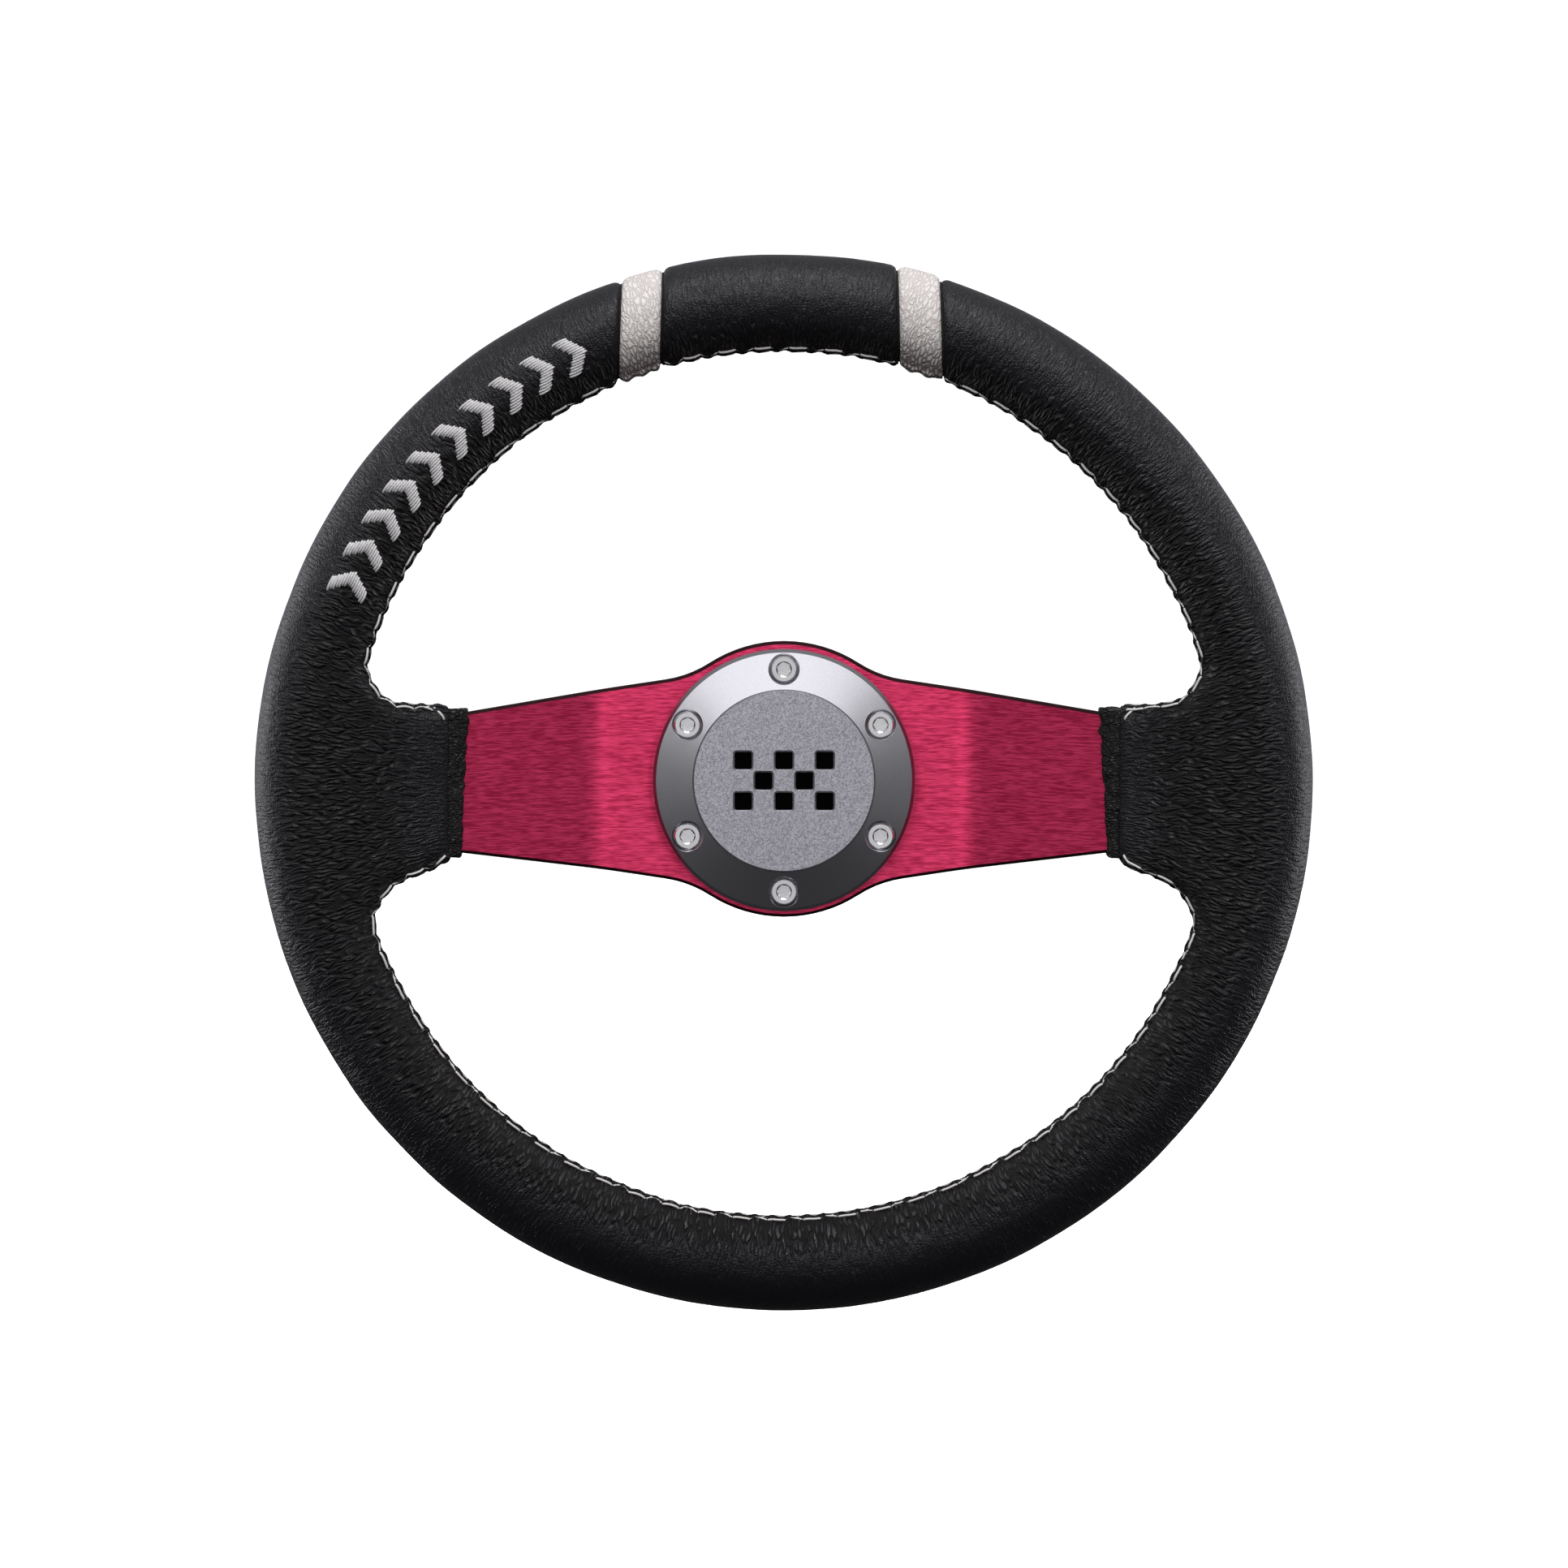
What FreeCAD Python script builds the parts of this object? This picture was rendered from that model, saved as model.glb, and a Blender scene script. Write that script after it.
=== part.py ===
"""Two-spoke motorsport steering wheel with a ball-lock quick-release hub on its back.

Frame: +Z up, +Y along the steering axis from the driver towards the column. The origin is on
that axis, at the mouth of the socket that takes the column's splined hub. Millimetres.
Every function below makes one physical piece, or one group of identical pieces.
"""
import math
import os

import FreeCAD
import Part

V = FreeCAD.Vector
AXIS = V(0, 1, 0)
CENTRE = V(0, 0, 0)

# Rim grip: an oval section carried round a circle.
RIM_DIAMETER = 330.0
GRIP_WIDTH = 30.0
GRIP_DEPTH = 27.0
LEATHER = 1.3
RIM_PLANE = -80.0
RIM_RADIUS = (RIM_DIAMETER - GRIP_WIDTH) / 2
RIM_INSIDE = RIM_RADIUS - GRIP_WIDTH / 2

# Armature: a flat hoop inside the grip, with the spokes' tabs riveted to its back.
HOOP_WIDTH = 16.0
HOOP_THICKNESS = 4.0
RIVET_X = 148.0
RIVET_Z = 9.0
RIVET_RADIUS = 2.5
RIVET_HEAD_RADIUS = 4.5
RIVET_HEAD = 1.5
RIVET_CROWN = 0.6

# Spoke plate: flat at the hub, bent forwards to the rim, flat again inside the grip.
PLATE = 4.0
PLATE_BACK = -48.0
PLATE_FRONT = PLATE_BACK - PLATE
PLATE_HUB_RADIUS = 43.5
HUB_BLEND = 35.0
BEND_START = 58.0
BEND_END = 108.0
BEND_RADIUS = 24.0
TAB_END = 152.0
TAB_HALF_HEIGHT = 18.0
SPOKE_HALF_AT_CENTRE = 37.0
SPOKE_TAPER = 0.15
PLATE_CHAMFER = 1.0
PLATE_HOLE_RADIUS = 26.0
TAB_NECK = 6.0
CUT_FRONT = -110.0
CUT_BACK = -20.0
CUT_HALF_HEIGHT = 60.0
HUB_PLANE = PLATE_BACK - PLATE / 2
TAB_PLANE = RIM_PLANE + HOOP_THICKNESS / 2 + PLATE / 2
SPOKE_ANGLE = math.atan2(HUB_PLANE - TAB_PLANE, BEND_END - BEND_START)

# Leather round the spoke's root: how far along the spoke each cross-section lies, how low and how
# high it reaches, and half its thickness. The binding at the root's mouth is a sleeve on the spoke.
ROOT_SECTIONS = [
    (104.3, -24.0, 24.6, 4.8),
    (110.0, -27.6, 25.0, 6.0),
    (117.0, -29.8, 25.4, 7.6),
    (122.0, -32.2, 25.8, 9.0),
    (126.0, -37.0, 28.2, 10.2),
    (129.0, -43.5, 33.5, 11.0),
    (135.0, -52.0, 42.0, 12.0),
    (148.0, -60.0, 50.0, 12.8),
]
ROOT_START = ROOT_SECTIONS[0][0]
ROOT_LEVEL_X = 135.0
CUFF_TOP_X = 98.7
CUFF_BOTTOM_X = 101.3
CUFF_SKIN = 1.8
CUFF_HALF_HEIGHT = 23.0

# Marker stripes at the top of the rim, bounded by grooves in planes of constant x.
GROOVE = 0.8
LEFT_STRIPE = (-51.1, -37.7)
RIGHT_STRIPE = (35.3, 49.2)

# Hub ring, cap and badge on the driver's side.
RING_RADIUS = 41.2
RING_EDGE = (40.2, -58.9)
RING_FRONT = -62.0
RING_CHAMFER_START = -57.0
SHELF_RADIUS = 22.0
SHELF_FRONT = -57.5
CAP_RADIUS = 28.6
CAP_RECESS_RADIUS = 28.7
CAP_FRONT = -62.2
CAP_EDGE = 0.4
COUNTERBORE_CHAMFER = 0.45
BADGE_PITCH = 6.4
BADGE_SQUARE = 5.5
BADGE_CORNER = 0.7
BADGE_BEVEL = 0.5
BADGE_RECESS = 0.9
BADGE_BASE = (34.0, 22.0, 1.8)
BADGE_FIT = 0.05

# Six bolts on the common 70 mm circle, M5, and three M3 screws behind the cap.
BOLT_CIRCLE_RADIUS = 35.0
BOLT_ANGLES = [30 + 60 * step for step in range(6)]
BOLT_RADIUS = 2.5
BOLT_CLEARANCE = 2.75
BOLT_HEAD_RADIUS = 4.25
BOLT_HEAD = 5.0
BOLT_EDGE = 0.5
BOLT_LENGTH = 14.0
BOLT_SEAT = -54.8
COUNTERBORE_RADIUS = 4.5
HEX_SOCKET = 4.0
HEX_DEPTH = 2.6
HEX_LEAD_IN = (0.66, 0.46, 0.5)
BOLT_TURN = 17.0
SCREW_CIRCLE_RADIUS = 25.2
SCREW_ANGLES = [90, 210, 330]
SCREW_RADIUS = 1.5
SCREW_HEAD_RADIUS = 2.9
SCREW_HEAD = 1.6
SCREW_LENGTH = 8.0
SCREW_HEX = 2.0
SCREW_HEX_DEPTH = 1.2
SCREW_HOLE_SPARE = 0.3

# Quick-release hub: flange, barrel and splined socket.
FLANGE_RADIUS = 41.2
FLANGE_BACK = -40.0
FLANGE_EDGE = 0.8
WAIST_RADIUS = 9.0
WAIST_CIRCLE = 47.0
SPIGOT_RADIUS = 25.9
SPIGOT_FRONT = -51.4
BARREL_RADIUS = 24.0
BARREL_EDGE = 0.8
PILOT_RADIUS = 17.5
PILOT_EDGE = 0.3
SEAL_GROOVE = (-14.0, -12.0)
SEAL_GROOVE_RADIUS = 19.1
SEAL_SECTION = 0.9
SEAL_FIT = 0.05
SPLINE_TEETH = 24
SPLINE_ROOT = 17.2
SPLINE_TIP = 15.8
SPLINE_TOP = -24.0
SPLINE_TIP_SHARE = 0.30
SPLINE_ROOT_SHARE = 0.20
SOCKET_FLOOR = -42.0
PAD_RADIUS = 13.0
PAD_THICKNESS = 2.0
PAD_EDGE = 0.4

# Ball lock: balls in radial holes, held in by the cone of a sliding sleeve.
BALL_RADIUS = 4.0
BALL_COUNT = 6
BALL_Y = -18.5
BALL_CENTRE_RADIUS = 20.3
BALL_FIT = 0.05
BALL_LIP_RADIUS = 3.35
BALL_LIP_END = 17.95
BALL_FIRST_ANGLE = 30.0
COLLAR_TRAVEL = 7.0
CONE_SLOPE = 0.25
CONE_OVERRUN = 0.2

# Sliding collar: a steel sleeve with the cone, in an aluminium pull ring.
SLIDE_FIT = 0.08
SLEEVE_RADIUS = 28.3
SLEEVE_END = -4.0
SLEEVE_START = -24.0
RELIEF_END = BALL_Y + 11.0
COLLAR_START = -32.0
COLLAR_RADIUS = 31.5
COLLAR_FRONT_EDGE = 0.8
COLLAR_BACK_EDGE = 1.2
BAND_STARTS = (-29.0, -26.0, -23.0)
BAND_WIDTH = 1.2
BAND_DEPTH = 0.6
PULL_FLANGE = (-17.0, -11.0)
PULL_FLANGE_RADIUS = 38.5
PULL_FLANGE_EDGE = 1.2
SCALLOPS = 18
SCALLOP_RADIUS = 2.6
SCALLOP_OUT = 0.45
CLIP_SPAN = (-3.8, -2.3)
CLIP_INSIDE = 22.9
CLIP_OUTSIDE = 26.5
CLIP_GAP = 7.0
CLIP_LUG_RADIUS = 2.2
CLIP_LUG_HOLE = 0.9
CLIP_LUG_RISE = 0.4

# Return spring between the flange and the sleeve.
SPRING_WIRE = 1.8
SPRING_RADIUS = 26.2
SPRING_TURNS = 4
SPRING_END_GAP = 0.15


def polar(radius, degrees, y=0.0):
    """A point at that radius and angle round the steering axis; 90 degrees is up."""
    angle = math.radians(degrees)
    return V(radius * math.cos(angle), y, radius * math.sin(angle))


def rod(radius, front, back, at=CENTRE):
    """A cylinder along the steering direction, from y=front to y=back."""
    return Part.makeCylinder(radius, back - front, V(at.x, front, at.z), AXIS)


def cone(front_radius, back_radius, front, back, at=CENTRE):
    """A cone along the steering direction, from y=front to y=back."""
    return Part.makeCone(front_radius, back_radius, back - front, V(at.x, front, at.z), AXIS)


def turned(profile):
    """The solid that a lathe makes from a closed outline of (radius, y) points."""
    points = [V(radius, y, 0) for radius, y in profile]
    face = Part.Face(Part.makePolygon(points + points[:1]))
    return face.revolve(CENTRE, AXIS, 360)


def prism(outline, start, length):
    """A closed outline of points, moved to start and extruded by length."""
    points = [point + start for point in outline]
    return Part.Face(Part.makePolygon(points + points[:1])).extrude(length)


def front_prism(outline, front, back):
    """An outline of (x, z) points seen from the driver, extruded from y=front to y=back."""
    points = [V(x, 0, z) for x, z in outline]
    return prism(points, V(0, front, 0), V(0, back - front, 0))


def both_sides(shape):
    """A shape and its mirror image across the wheel's middle plane."""
    return shape.fuse(shape.mirror(CENTRE, V(1, 0, 0)))


def mirrored(shape):
    """The left-hand twin of a right-hand piece."""
    return shape.mirror(CENTRE, V(1, 0, 0))


def oval_ring(shrink=0.0):
    """The grip's oval section turned round the steering axis, made smaller all over by shrink."""
    across = GRIP_WIDTH / 2 - shrink
    deep = GRIP_DEPTH / 2 - shrink
    oval = Part.Ellipse(V(RIM_RADIUS, RIM_PLANE, 0), across, deep).toShape()
    return Part.Face(Part.Wire([oval])).revolve(CENTRE, AXIS, 360)


def spoke_height(x):
    """Half the height of the spoke's outline at that distance from the axis."""
    return SPOKE_HALF_AT_CENTRE - SPOKE_TAPER * x


def bent_line(offset):
    """Right half of the spoke's side view, moved back by offset: (x, y) points from the axis out."""
    mitre = offset * math.tan(SPOKE_ANGLE / 2)
    return [
        (0.0, HUB_PLANE + offset),
        (BEND_START + mitre, HUB_PLANE + offset),
        (BEND_END + mitre, TAB_PLANE + offset),
        (TAB_END, TAB_PLANE + offset),
    ]


def bent_strip(thickness):
    """A strip of that thickness along the spokes' bent middle plane, tall enough for any outline."""
    front = bent_line(-thickness / 2)
    back = bent_line(thickness / 2)
    left_back = [(-x, y) for x, y in back[1:]]
    left_front = [(-x, y) for x, y in reversed(front[1:])]
    outline = front + list(reversed(back)) + left_back + left_front
    points = [V(x, y, 0) for x, y in outline]
    strip = prism(points, V(0, 0, -CUT_HALF_HEIGHT), V(0, 0, 2 * CUT_HALF_HEIGHT))
    for line, inner_bend in ((front, 1), (back, 2)):
        for bend in (1, 2):
            inside = bend == inner_bend
            radius = BEND_RADIUS + (-thickness / 2 if inside else thickness / 2)
            edges = [edge for edge in strip.Edges if is_upright(edge, *line[bend])]
            strip = strip.makeFillet(radius, edges)
    return strip


def is_upright(edge, x, y):
    """Whether an edge runs along Z at that distance from the middle plane and that depth."""
    points = [vertex.Point for vertex in edge.Vertexes]
    near = [abs(abs(p.x) - x) < 1e-4 and abs(p.y - y) < 1e-4 for p in points]
    return len(points) == 2 and all(near)


def plate_blank():
    """The spoke plate's outline as a thick slab: hub disc, tapered spokes and narrow tabs."""
    half = spoke_height(BEND_END)
    spoke = front_prism(
        [
            (0, spoke_height(0)),
            (BEND_END, half),
            (BEND_END + TAB_NECK, TAB_HALF_HEIGHT),
            (TAB_END, TAB_HALF_HEIGHT),
            (TAB_END, -TAB_HALF_HEIGHT),
            (BEND_END + TAB_NECK, -TAB_HALF_HEIGHT),
            (BEND_END, -half),
            (0, -spoke_height(0)),
        ],
        CUT_FRONT,
        CUT_BACK,
    )
    slab = both_sides(spoke).fuse(rod(PLATE_HUB_RADIUS, CUT_FRONT, CUT_BACK)).removeSplitter()
    corners = []
    for edge in slab.Edges:
        start, end = edge.Vertexes[0].Point, edge.Vertexes[-1].Point
        along_y = abs(start.x - end.x) + abs(start.z - end.z) < 1e-6
        if along_y and abs(math.hypot(start.x, start.z) - PLATE_HUB_RADIUS) < 1e-3:
            corners.append(edge)
    return slab.makeFillet(HUB_BLEND, corners)


def bolt_holes(radius, front, back):
    """Six rods on the bolt circle, ready to be cut."""
    rods = [rod(radius, front, back, polar(BOLT_CIRCLE_RADIUS, a)) for a in BOLT_ANGLES]
    return rods[0].fuse(rods[1:])


def rivets():
    """Four solid rivets through the hoop and the spokes' tabs, with a head at each end."""
    front = RIM_PLANE - HOOP_THICKNESS / 2
    back = front + HOOP_THICKNESS + PLATE
    profile = [
        (0, front - RIVET_HEAD),
        (RIVET_HEAD_RADIUS * RIVET_CROWN, front - RIVET_HEAD),
        (RIVET_HEAD_RADIUS, front),
        (RIVET_RADIUS, front),
        (RIVET_RADIUS, back),
        (RIVET_HEAD_RADIUS, back),
        (RIVET_HEAD_RADIUS * RIVET_CROWN, back + RIVET_HEAD),
        (0, back + RIVET_HEAD),
    ]
    rivet = turned(profile)
    places = [V(x, 0, z) for x in (-RIVET_X, RIVET_X) for z in (-RIVET_Z, RIVET_Z)]
    return [rivet.translated(place) for place in places]


def spoke_plate():
    """Brushed aluminium plate: hub and both spokes in one piece, with chamfered front edges."""
    plate = plate_blank().common(bent_strip(PLATE)).removeSplitter()
    plate = plate.makeChamfer(PLATE_CHAMFER, front_edges(plate))
    plate = plate.cut(rod(PLATE_HOLE_RADIUS, PLATE_FRONT - 1, PLATE_BACK + 1))
    plate = plate.cut(bolt_holes(BOLT_CLEARANCE, PLATE_FRONT - 1, PLATE_BACK + 1))
    return plate.cut(rivets()[0].fuse(rivets()[1:]))


def front_edges(plate):
    """The plate's edges where its front face meets its long sides, up to the narrow tabs."""
    found = []
    for edge in plate.Edges:
        middle = edge.valueAt((edge.FirstParameter + edge.LastParameter) / 2)
        ends = [vertex.Point for vertex in edge.Vertexes]
        upright = abs(ends[0].z - ends[-1].z) > 30
        if abs(middle.x) < BEND_END - 2 and not upright and is_on_front(middle):
            found.append(edge)
    return found


def is_on_front(point):
    """Whether a point lies on the driver's side of the spokes' middle plane."""
    x = abs(point.x)
    share = min(max((x - BEND_START) / (BEND_END - BEND_START), 0.0), 1.0)
    middle = HUB_PLANE + share * (TAB_PLANE - HUB_PLANE)
    return point.y < middle


def rim_hoop():
    """Flat aluminium hoop that carries the grip."""
    half = HOOP_THICKNESS / 2
    outer = rod(RIM_RADIUS + HOOP_WIDTH / 2, RIM_PLANE - half, RIM_PLANE + half)
    inner = rod(RIM_RADIUS - HOOP_WIDTH / 2, RIM_PLANE - half - 1, RIM_PLANE + half + 1)
    hoop = outer.cut(inner)
    return hoop.cut(rivets()[0].fuse(rivets()[1:]))


def slot_outline(x, middle, low, high, half):
    """A slot-shaped wire in the plane of that x: two straight sides and two round ends."""
    corners = [
        V(x, middle - half, low + half),
        V(x, middle - half, high - half),
        V(x, middle + half, high - half),
        V(x, middle + half, low + half),
    ]
    edges = [
        Part.LineSegment(corners[0], corners[1]).toShape(),
        Part.Arc(corners[1], V(x, middle, high), corners[2]).toShape(),
        Part.LineSegment(corners[2], corners[3]).toShape(),
        Part.Arc(corners[3], V(x, middle, low), corners[0]).toShape(),
    ]
    return Part.Wire(edges)


def root(shrink=0.0):
    """Right-hand spoke root: the swelling that joins the grip to the spoke, smaller by shrink."""
    share = (ROOT_START - BEND_START) / (BEND_END - BEND_START)
    mouth = HUB_PLANE + share * (TAB_PLANE - HUB_PLANE)
    wires = []
    for x, low, high, half in ROOT_SECTIONS:
        along = min((x - ROOT_START) / (ROOT_LEVEL_X - ROOT_START), 1.0)
        middle = mouth + along * (RIM_PLANE - mouth)
        wires.append(slot_outline(x, middle, low + shrink, high - shrink, half - shrink))
    return Part.makeLoft(wires, True, True)


def grip_body(shrink=0.0):
    """Rim and both roots as one shape, made smaller all over by shrink."""
    right = root(shrink)
    return oval_ring(shrink).fuse([right, mirrored(right)])


def rim_foam():
    """Moulded foam round the hoop and the spokes' tabs, under the leather."""
    foam = grip_body(LEATHER)
    return foam.cut([rim_hoop(), spoke_plate()] + rivets())


def leather_skin():
    """The whole leather layer, from the foam out, before it is cut into panels."""
    return grip_body().cut([grip_body(LEATHER), spoke_plate()])


def upper_slice(low_x, high_x):
    """A block that holds the top of the rim between two planes of constant x."""
    half = GROOVE / 2
    return Part.makeBox(
        high_x - low_x - GROOVE, 60, 200, V(low_x + half, RIM_PLANE - 30, 0)
    )


def leather_panels():
    """The skin cut at the stripes' grooves: long grip, top panel and two marker stripes."""
    skin = leather_skin()
    left, right = LEFT_STRIPE, RIGHT_STRIPE
    top_gap = Part.makeBox(right[1] - left[0], 60, 200, V(left[0], RIM_PLANE - 30, 0))
    return {
        "grip_leather": skin.cut(top_gap),
        "top_leather": skin.common(upper_slice(left[1], right[0])),
        "stripe_left": skin.common(upper_slice(*left)),
        "stripe_right": skin.common(upper_slice(*right)),
    }


def cuff():
    """Leather binding round the right spoke, closing the mouth of the root."""
    outline = front_prism(
        [
            (CUFF_TOP_X, CUFF_HALF_HEIGHT),
            (ROOT_START, CUFF_HALF_HEIGHT),
            (ROOT_START, -CUFF_HALF_HEIGHT),
            (CUFF_BOTTOM_X, -CUFF_HALF_HEIGHT),
        ],
        CUT_FRONT,
        CUT_BACK,
    )
    return outline.common(bent_strip(PLATE + 2 * CUFF_SKIN)).cut(spoke_plate())


def hexagon(width, front, back, at):
    """A hexagonal rod of that width across its flats."""
    corner = width / math.sqrt(3)
    outline = [polar(corner, 60 * step) for step in range(6)]
    return prism(outline, V(at.x, front, at.z), V(0, back - front, 0))


def hub_ring():
    """Turned clamp ring with a sloping face, a seat for the cap and six counterbores."""
    ring = turned(
        [
            (SHELF_RADIUS, PLATE_FRONT),
            (RING_RADIUS, PLATE_FRONT),
            (RING_RADIUS, RING_CHAMFER_START),
            RING_EDGE,
            (CAP_RECESS_RADIUS, RING_FRONT),
            (CAP_RECESS_RADIUS, SHELF_FRONT),
            (SHELF_RADIUS, SHELF_FRONT),
        ]
    )
    ring = ring.cut(bolt_holes(BOLT_CLEARANCE, RING_FRONT - 1, PLATE_FRONT + 1))
    ring = ring.cut(bolt_holes(COUNTERBORE_RADIUS, RING_FRONT - 1, BOLT_SEAT))
    mouths = [edge for edge in ring.Edges if is_counterbore_mouth(edge)]
    ring = ring.makeChamfer(COUNTERBORE_CHAMFER, mouths)
    for angle in SCREW_ANGLES:
        place = polar(SCREW_CIRCLE_RADIUS, angle)
        ring = ring.cut(rod(SCREW_RADIUS, SHELF_FRONT - 1, PLATE_FRONT + 1, place))
        head = PLATE_FRONT - SCREW_HEAD
        ring = ring.cut(cone(SCREW_RADIUS, SCREW_HEAD_RADIUS, head, PLATE_FRONT, place))
    return ring


def is_counterbore_mouth(edge):
    """Whether an edge is the rim of a counterbore on the ring's sloping face."""
    box = edge.BoundBox
    size = 2 * COUNTERBORE_RADIUS
    middle = math.hypot(box.Center.x, box.Center.z)
    wide = max(box.XLength, box.ZLength)
    on_circle = abs(middle - BOLT_CIRCLE_RADIUS) < 0.5
    return on_circle and abs(wide - size) < 0.2 and box.YMax < RING_EDGE[1] + 1


def badge_cells():
    """Centres of the badge's chequered squares: three rows of five, every other one filled."""
    cells = [(column - 2, row - 1) for row in range(3) for column in range(5)]
    filled = [cell for cell in cells if (cell[0] + cell[1] + 1) % 2 == 0]
    return [(x * BADGE_PITCH, z * BADGE_PITCH) for x, z in filled]


def rounded_square(size, corner, front, back):
    """A square rod with rounded corners along the steering direction."""
    half = size / 2
    block = Part.makeBox(size, back - front, size, V(-half, front, -half))
    uprights = []
    for edge in block.Edges:
        start, end = edge.Vertexes[0].Point, edge.Vertexes[-1].Point
        if abs(start.y - end.y) > (back - front) / 2:
            uprights.append(edge)
    return block.makeFillet(corner, uprights)


def bevelled_pocket():
    """The tool that cuts one badge pocket: a rounded square with a bevelled mouth."""
    pocket = rounded_square(BADGE_SQUARE, BADGE_CORNER, CAP_FRONT, SHELF_FRONT + 1)
    mouth_size = BADGE_SQUARE + 2 * BADGE_BEVEL
    mouth_corner = BADGE_CORNER + BADGE_BEVEL
    mouth_back = CAP_FRONT + BADGE_BEVEL
    mouth = rounded_square(mouth_size, mouth_corner, CAP_FRONT, mouth_back)
    backs = [edge for edge in mouth.Edges if edge.BoundBox.YMin > mouth_back - 1e-6]
    return pocket.fuse(mouth.makeChamfer(BADGE_BEVEL * 0.98, backs))


def centre_cap():
    """Blasted aluminium cap in the middle of the ring, with the badge's pockets through it."""
    cap = turned(
        [
            (0, CAP_FRONT),
            (CAP_RADIUS - CAP_EDGE, CAP_FRONT),
            (CAP_RADIUS, CAP_FRONT + CAP_EDGE),
            (CAP_RADIUS, SHELF_FRONT),
            (0, SHELF_FRONT),
        ]
    )
    width, height, depth = BADGE_BASE
    corner = V(-width / 2, SHELF_FRONT - depth, -height / 2)
    cap = cap.cut(Part.makeBox(width, depth, height, corner))
    tool = bevelled_pocket()
    cap = cap.cut([tool.translated(V(x, 0, z)) for x, z in badge_cells()])
    end = PLATE_FRONT - SCREW_LENGTH - SCREW_HOLE_SPARE
    screws = [
        rod(SCREW_RADIUS, end, SHELF_FRONT + 1, polar(SCREW_CIRCLE_RADIUS, angle))
        for angle in SCREW_ANGLES
    ]
    return cap.cut(screws)


def badge_inlay():
    """Glossy black inlay: a base plate behind the cap with a pad in every pocket."""
    width, height, depth = BADGE_BASE
    corner = V(-width / 2 + BADGE_FIT, SHELF_FRONT - depth, -height / 2 + BADGE_FIT)
    base = Part.makeBox(width - 2 * BADGE_FIT, depth, height - 2 * BADGE_FIT, corner)
    size = BADGE_SQUARE - 2 * BADGE_FIT
    pad = rounded_square(size, BADGE_CORNER, CAP_FRONT + BADGE_RECESS, SHELF_FRONT - depth)
    return base.fuse([pad.translated(V(x, 0, z)) for x, z in badge_cells()])


def hub_bolts():
    """Six M5 cap screws that clamp the ring and plate to the quick-release flange."""
    front = BOLT_SEAT - BOLT_HEAD
    end = BOLT_SEAT + BOLT_LENGTH
    bolt = turned(
        [
            (0, front),
            (BOLT_HEAD_RADIUS - BOLT_EDGE, front),
            (BOLT_HEAD_RADIUS, front + BOLT_EDGE),
            (BOLT_HEAD_RADIUS, BOLT_SEAT),
            (BOLT_RADIUS, BOLT_SEAT),
            (BOLT_RADIUS, end - BOLT_EDGE),
            (BOLT_RADIUS - BOLT_EDGE, end),
            (0, end),
        ]
    )
    bolt = bolt.cut(hexagon(HEX_SOCKET, front - 1, front + HEX_DEPTH, CENTRE))
    wide, narrow, deep = HEX_LEAD_IN
    bolt = bolt.cut(cone(HEX_SOCKET * wide, HEX_SOCKET * narrow, front - 0.1, front + deep))
    bolts = []
    for turn, angle in enumerate(BOLT_ANGLES):
        spun = bolt.copy()
        spun.rotate(CENTRE, AXIS, BOLT_TURN * turn)
        bolts.append(spun.translated(polar(BOLT_CIRCLE_RADIUS, angle)))
    return Part.makeCompound(bolts)


def cap_screws():
    """Three countersunk M3 screws that hold the cap from behind."""
    screw = turned(
        [
            (0, PLATE_FRONT - SCREW_LENGTH),
            (SCREW_RADIUS, PLATE_FRONT - SCREW_LENGTH),
            (SCREW_RADIUS, PLATE_FRONT - SCREW_HEAD),
            (SCREW_HEAD_RADIUS, PLATE_FRONT),
            (0, PLATE_FRONT),
        ]
    )
    screw = screw.cut(hexagon(SCREW_HEX, PLATE_FRONT - SCREW_HEX_DEPTH, PLATE_FRONT + 1, CENTRE))
    places = [polar(SCREW_CIRCLE_RADIUS, angle) for angle in SCREW_ANGLES]
    return Part.makeCompound([screw.translated(place) for place in places])


def spline_tool():
    """The toothed rod that broaches the socket: straight-sided teeth, slots at their roots."""
    step = 360.0 / SPLINE_TEETH
    tip = SPLINE_TIP_SHARE * step
    base = SPLINE_ROOT_SHARE * step
    outline = []
    for tooth in range(SPLINE_TEETH):
        middle = tooth * step
        outline.append(polar(SPLINE_TIP, middle - tip))
        outline.append(polar(SPLINE_ROOT, middle - base))
        outline.append(polar(SPLINE_ROOT, middle + base))
        outline.append(polar(SPLINE_TIP, middle + tip))
    return prism(outline, V(0, SOCKET_FLOOR, 0), V(0, SPLINE_TOP - SOCKET_FLOOR, 0))


def ball_direction(number):
    """Angle of one lock ball's hole, from the first at 30 degrees."""
    return BALL_FIRST_ANGLE + 360.0 * number / BALL_COUNT


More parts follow.
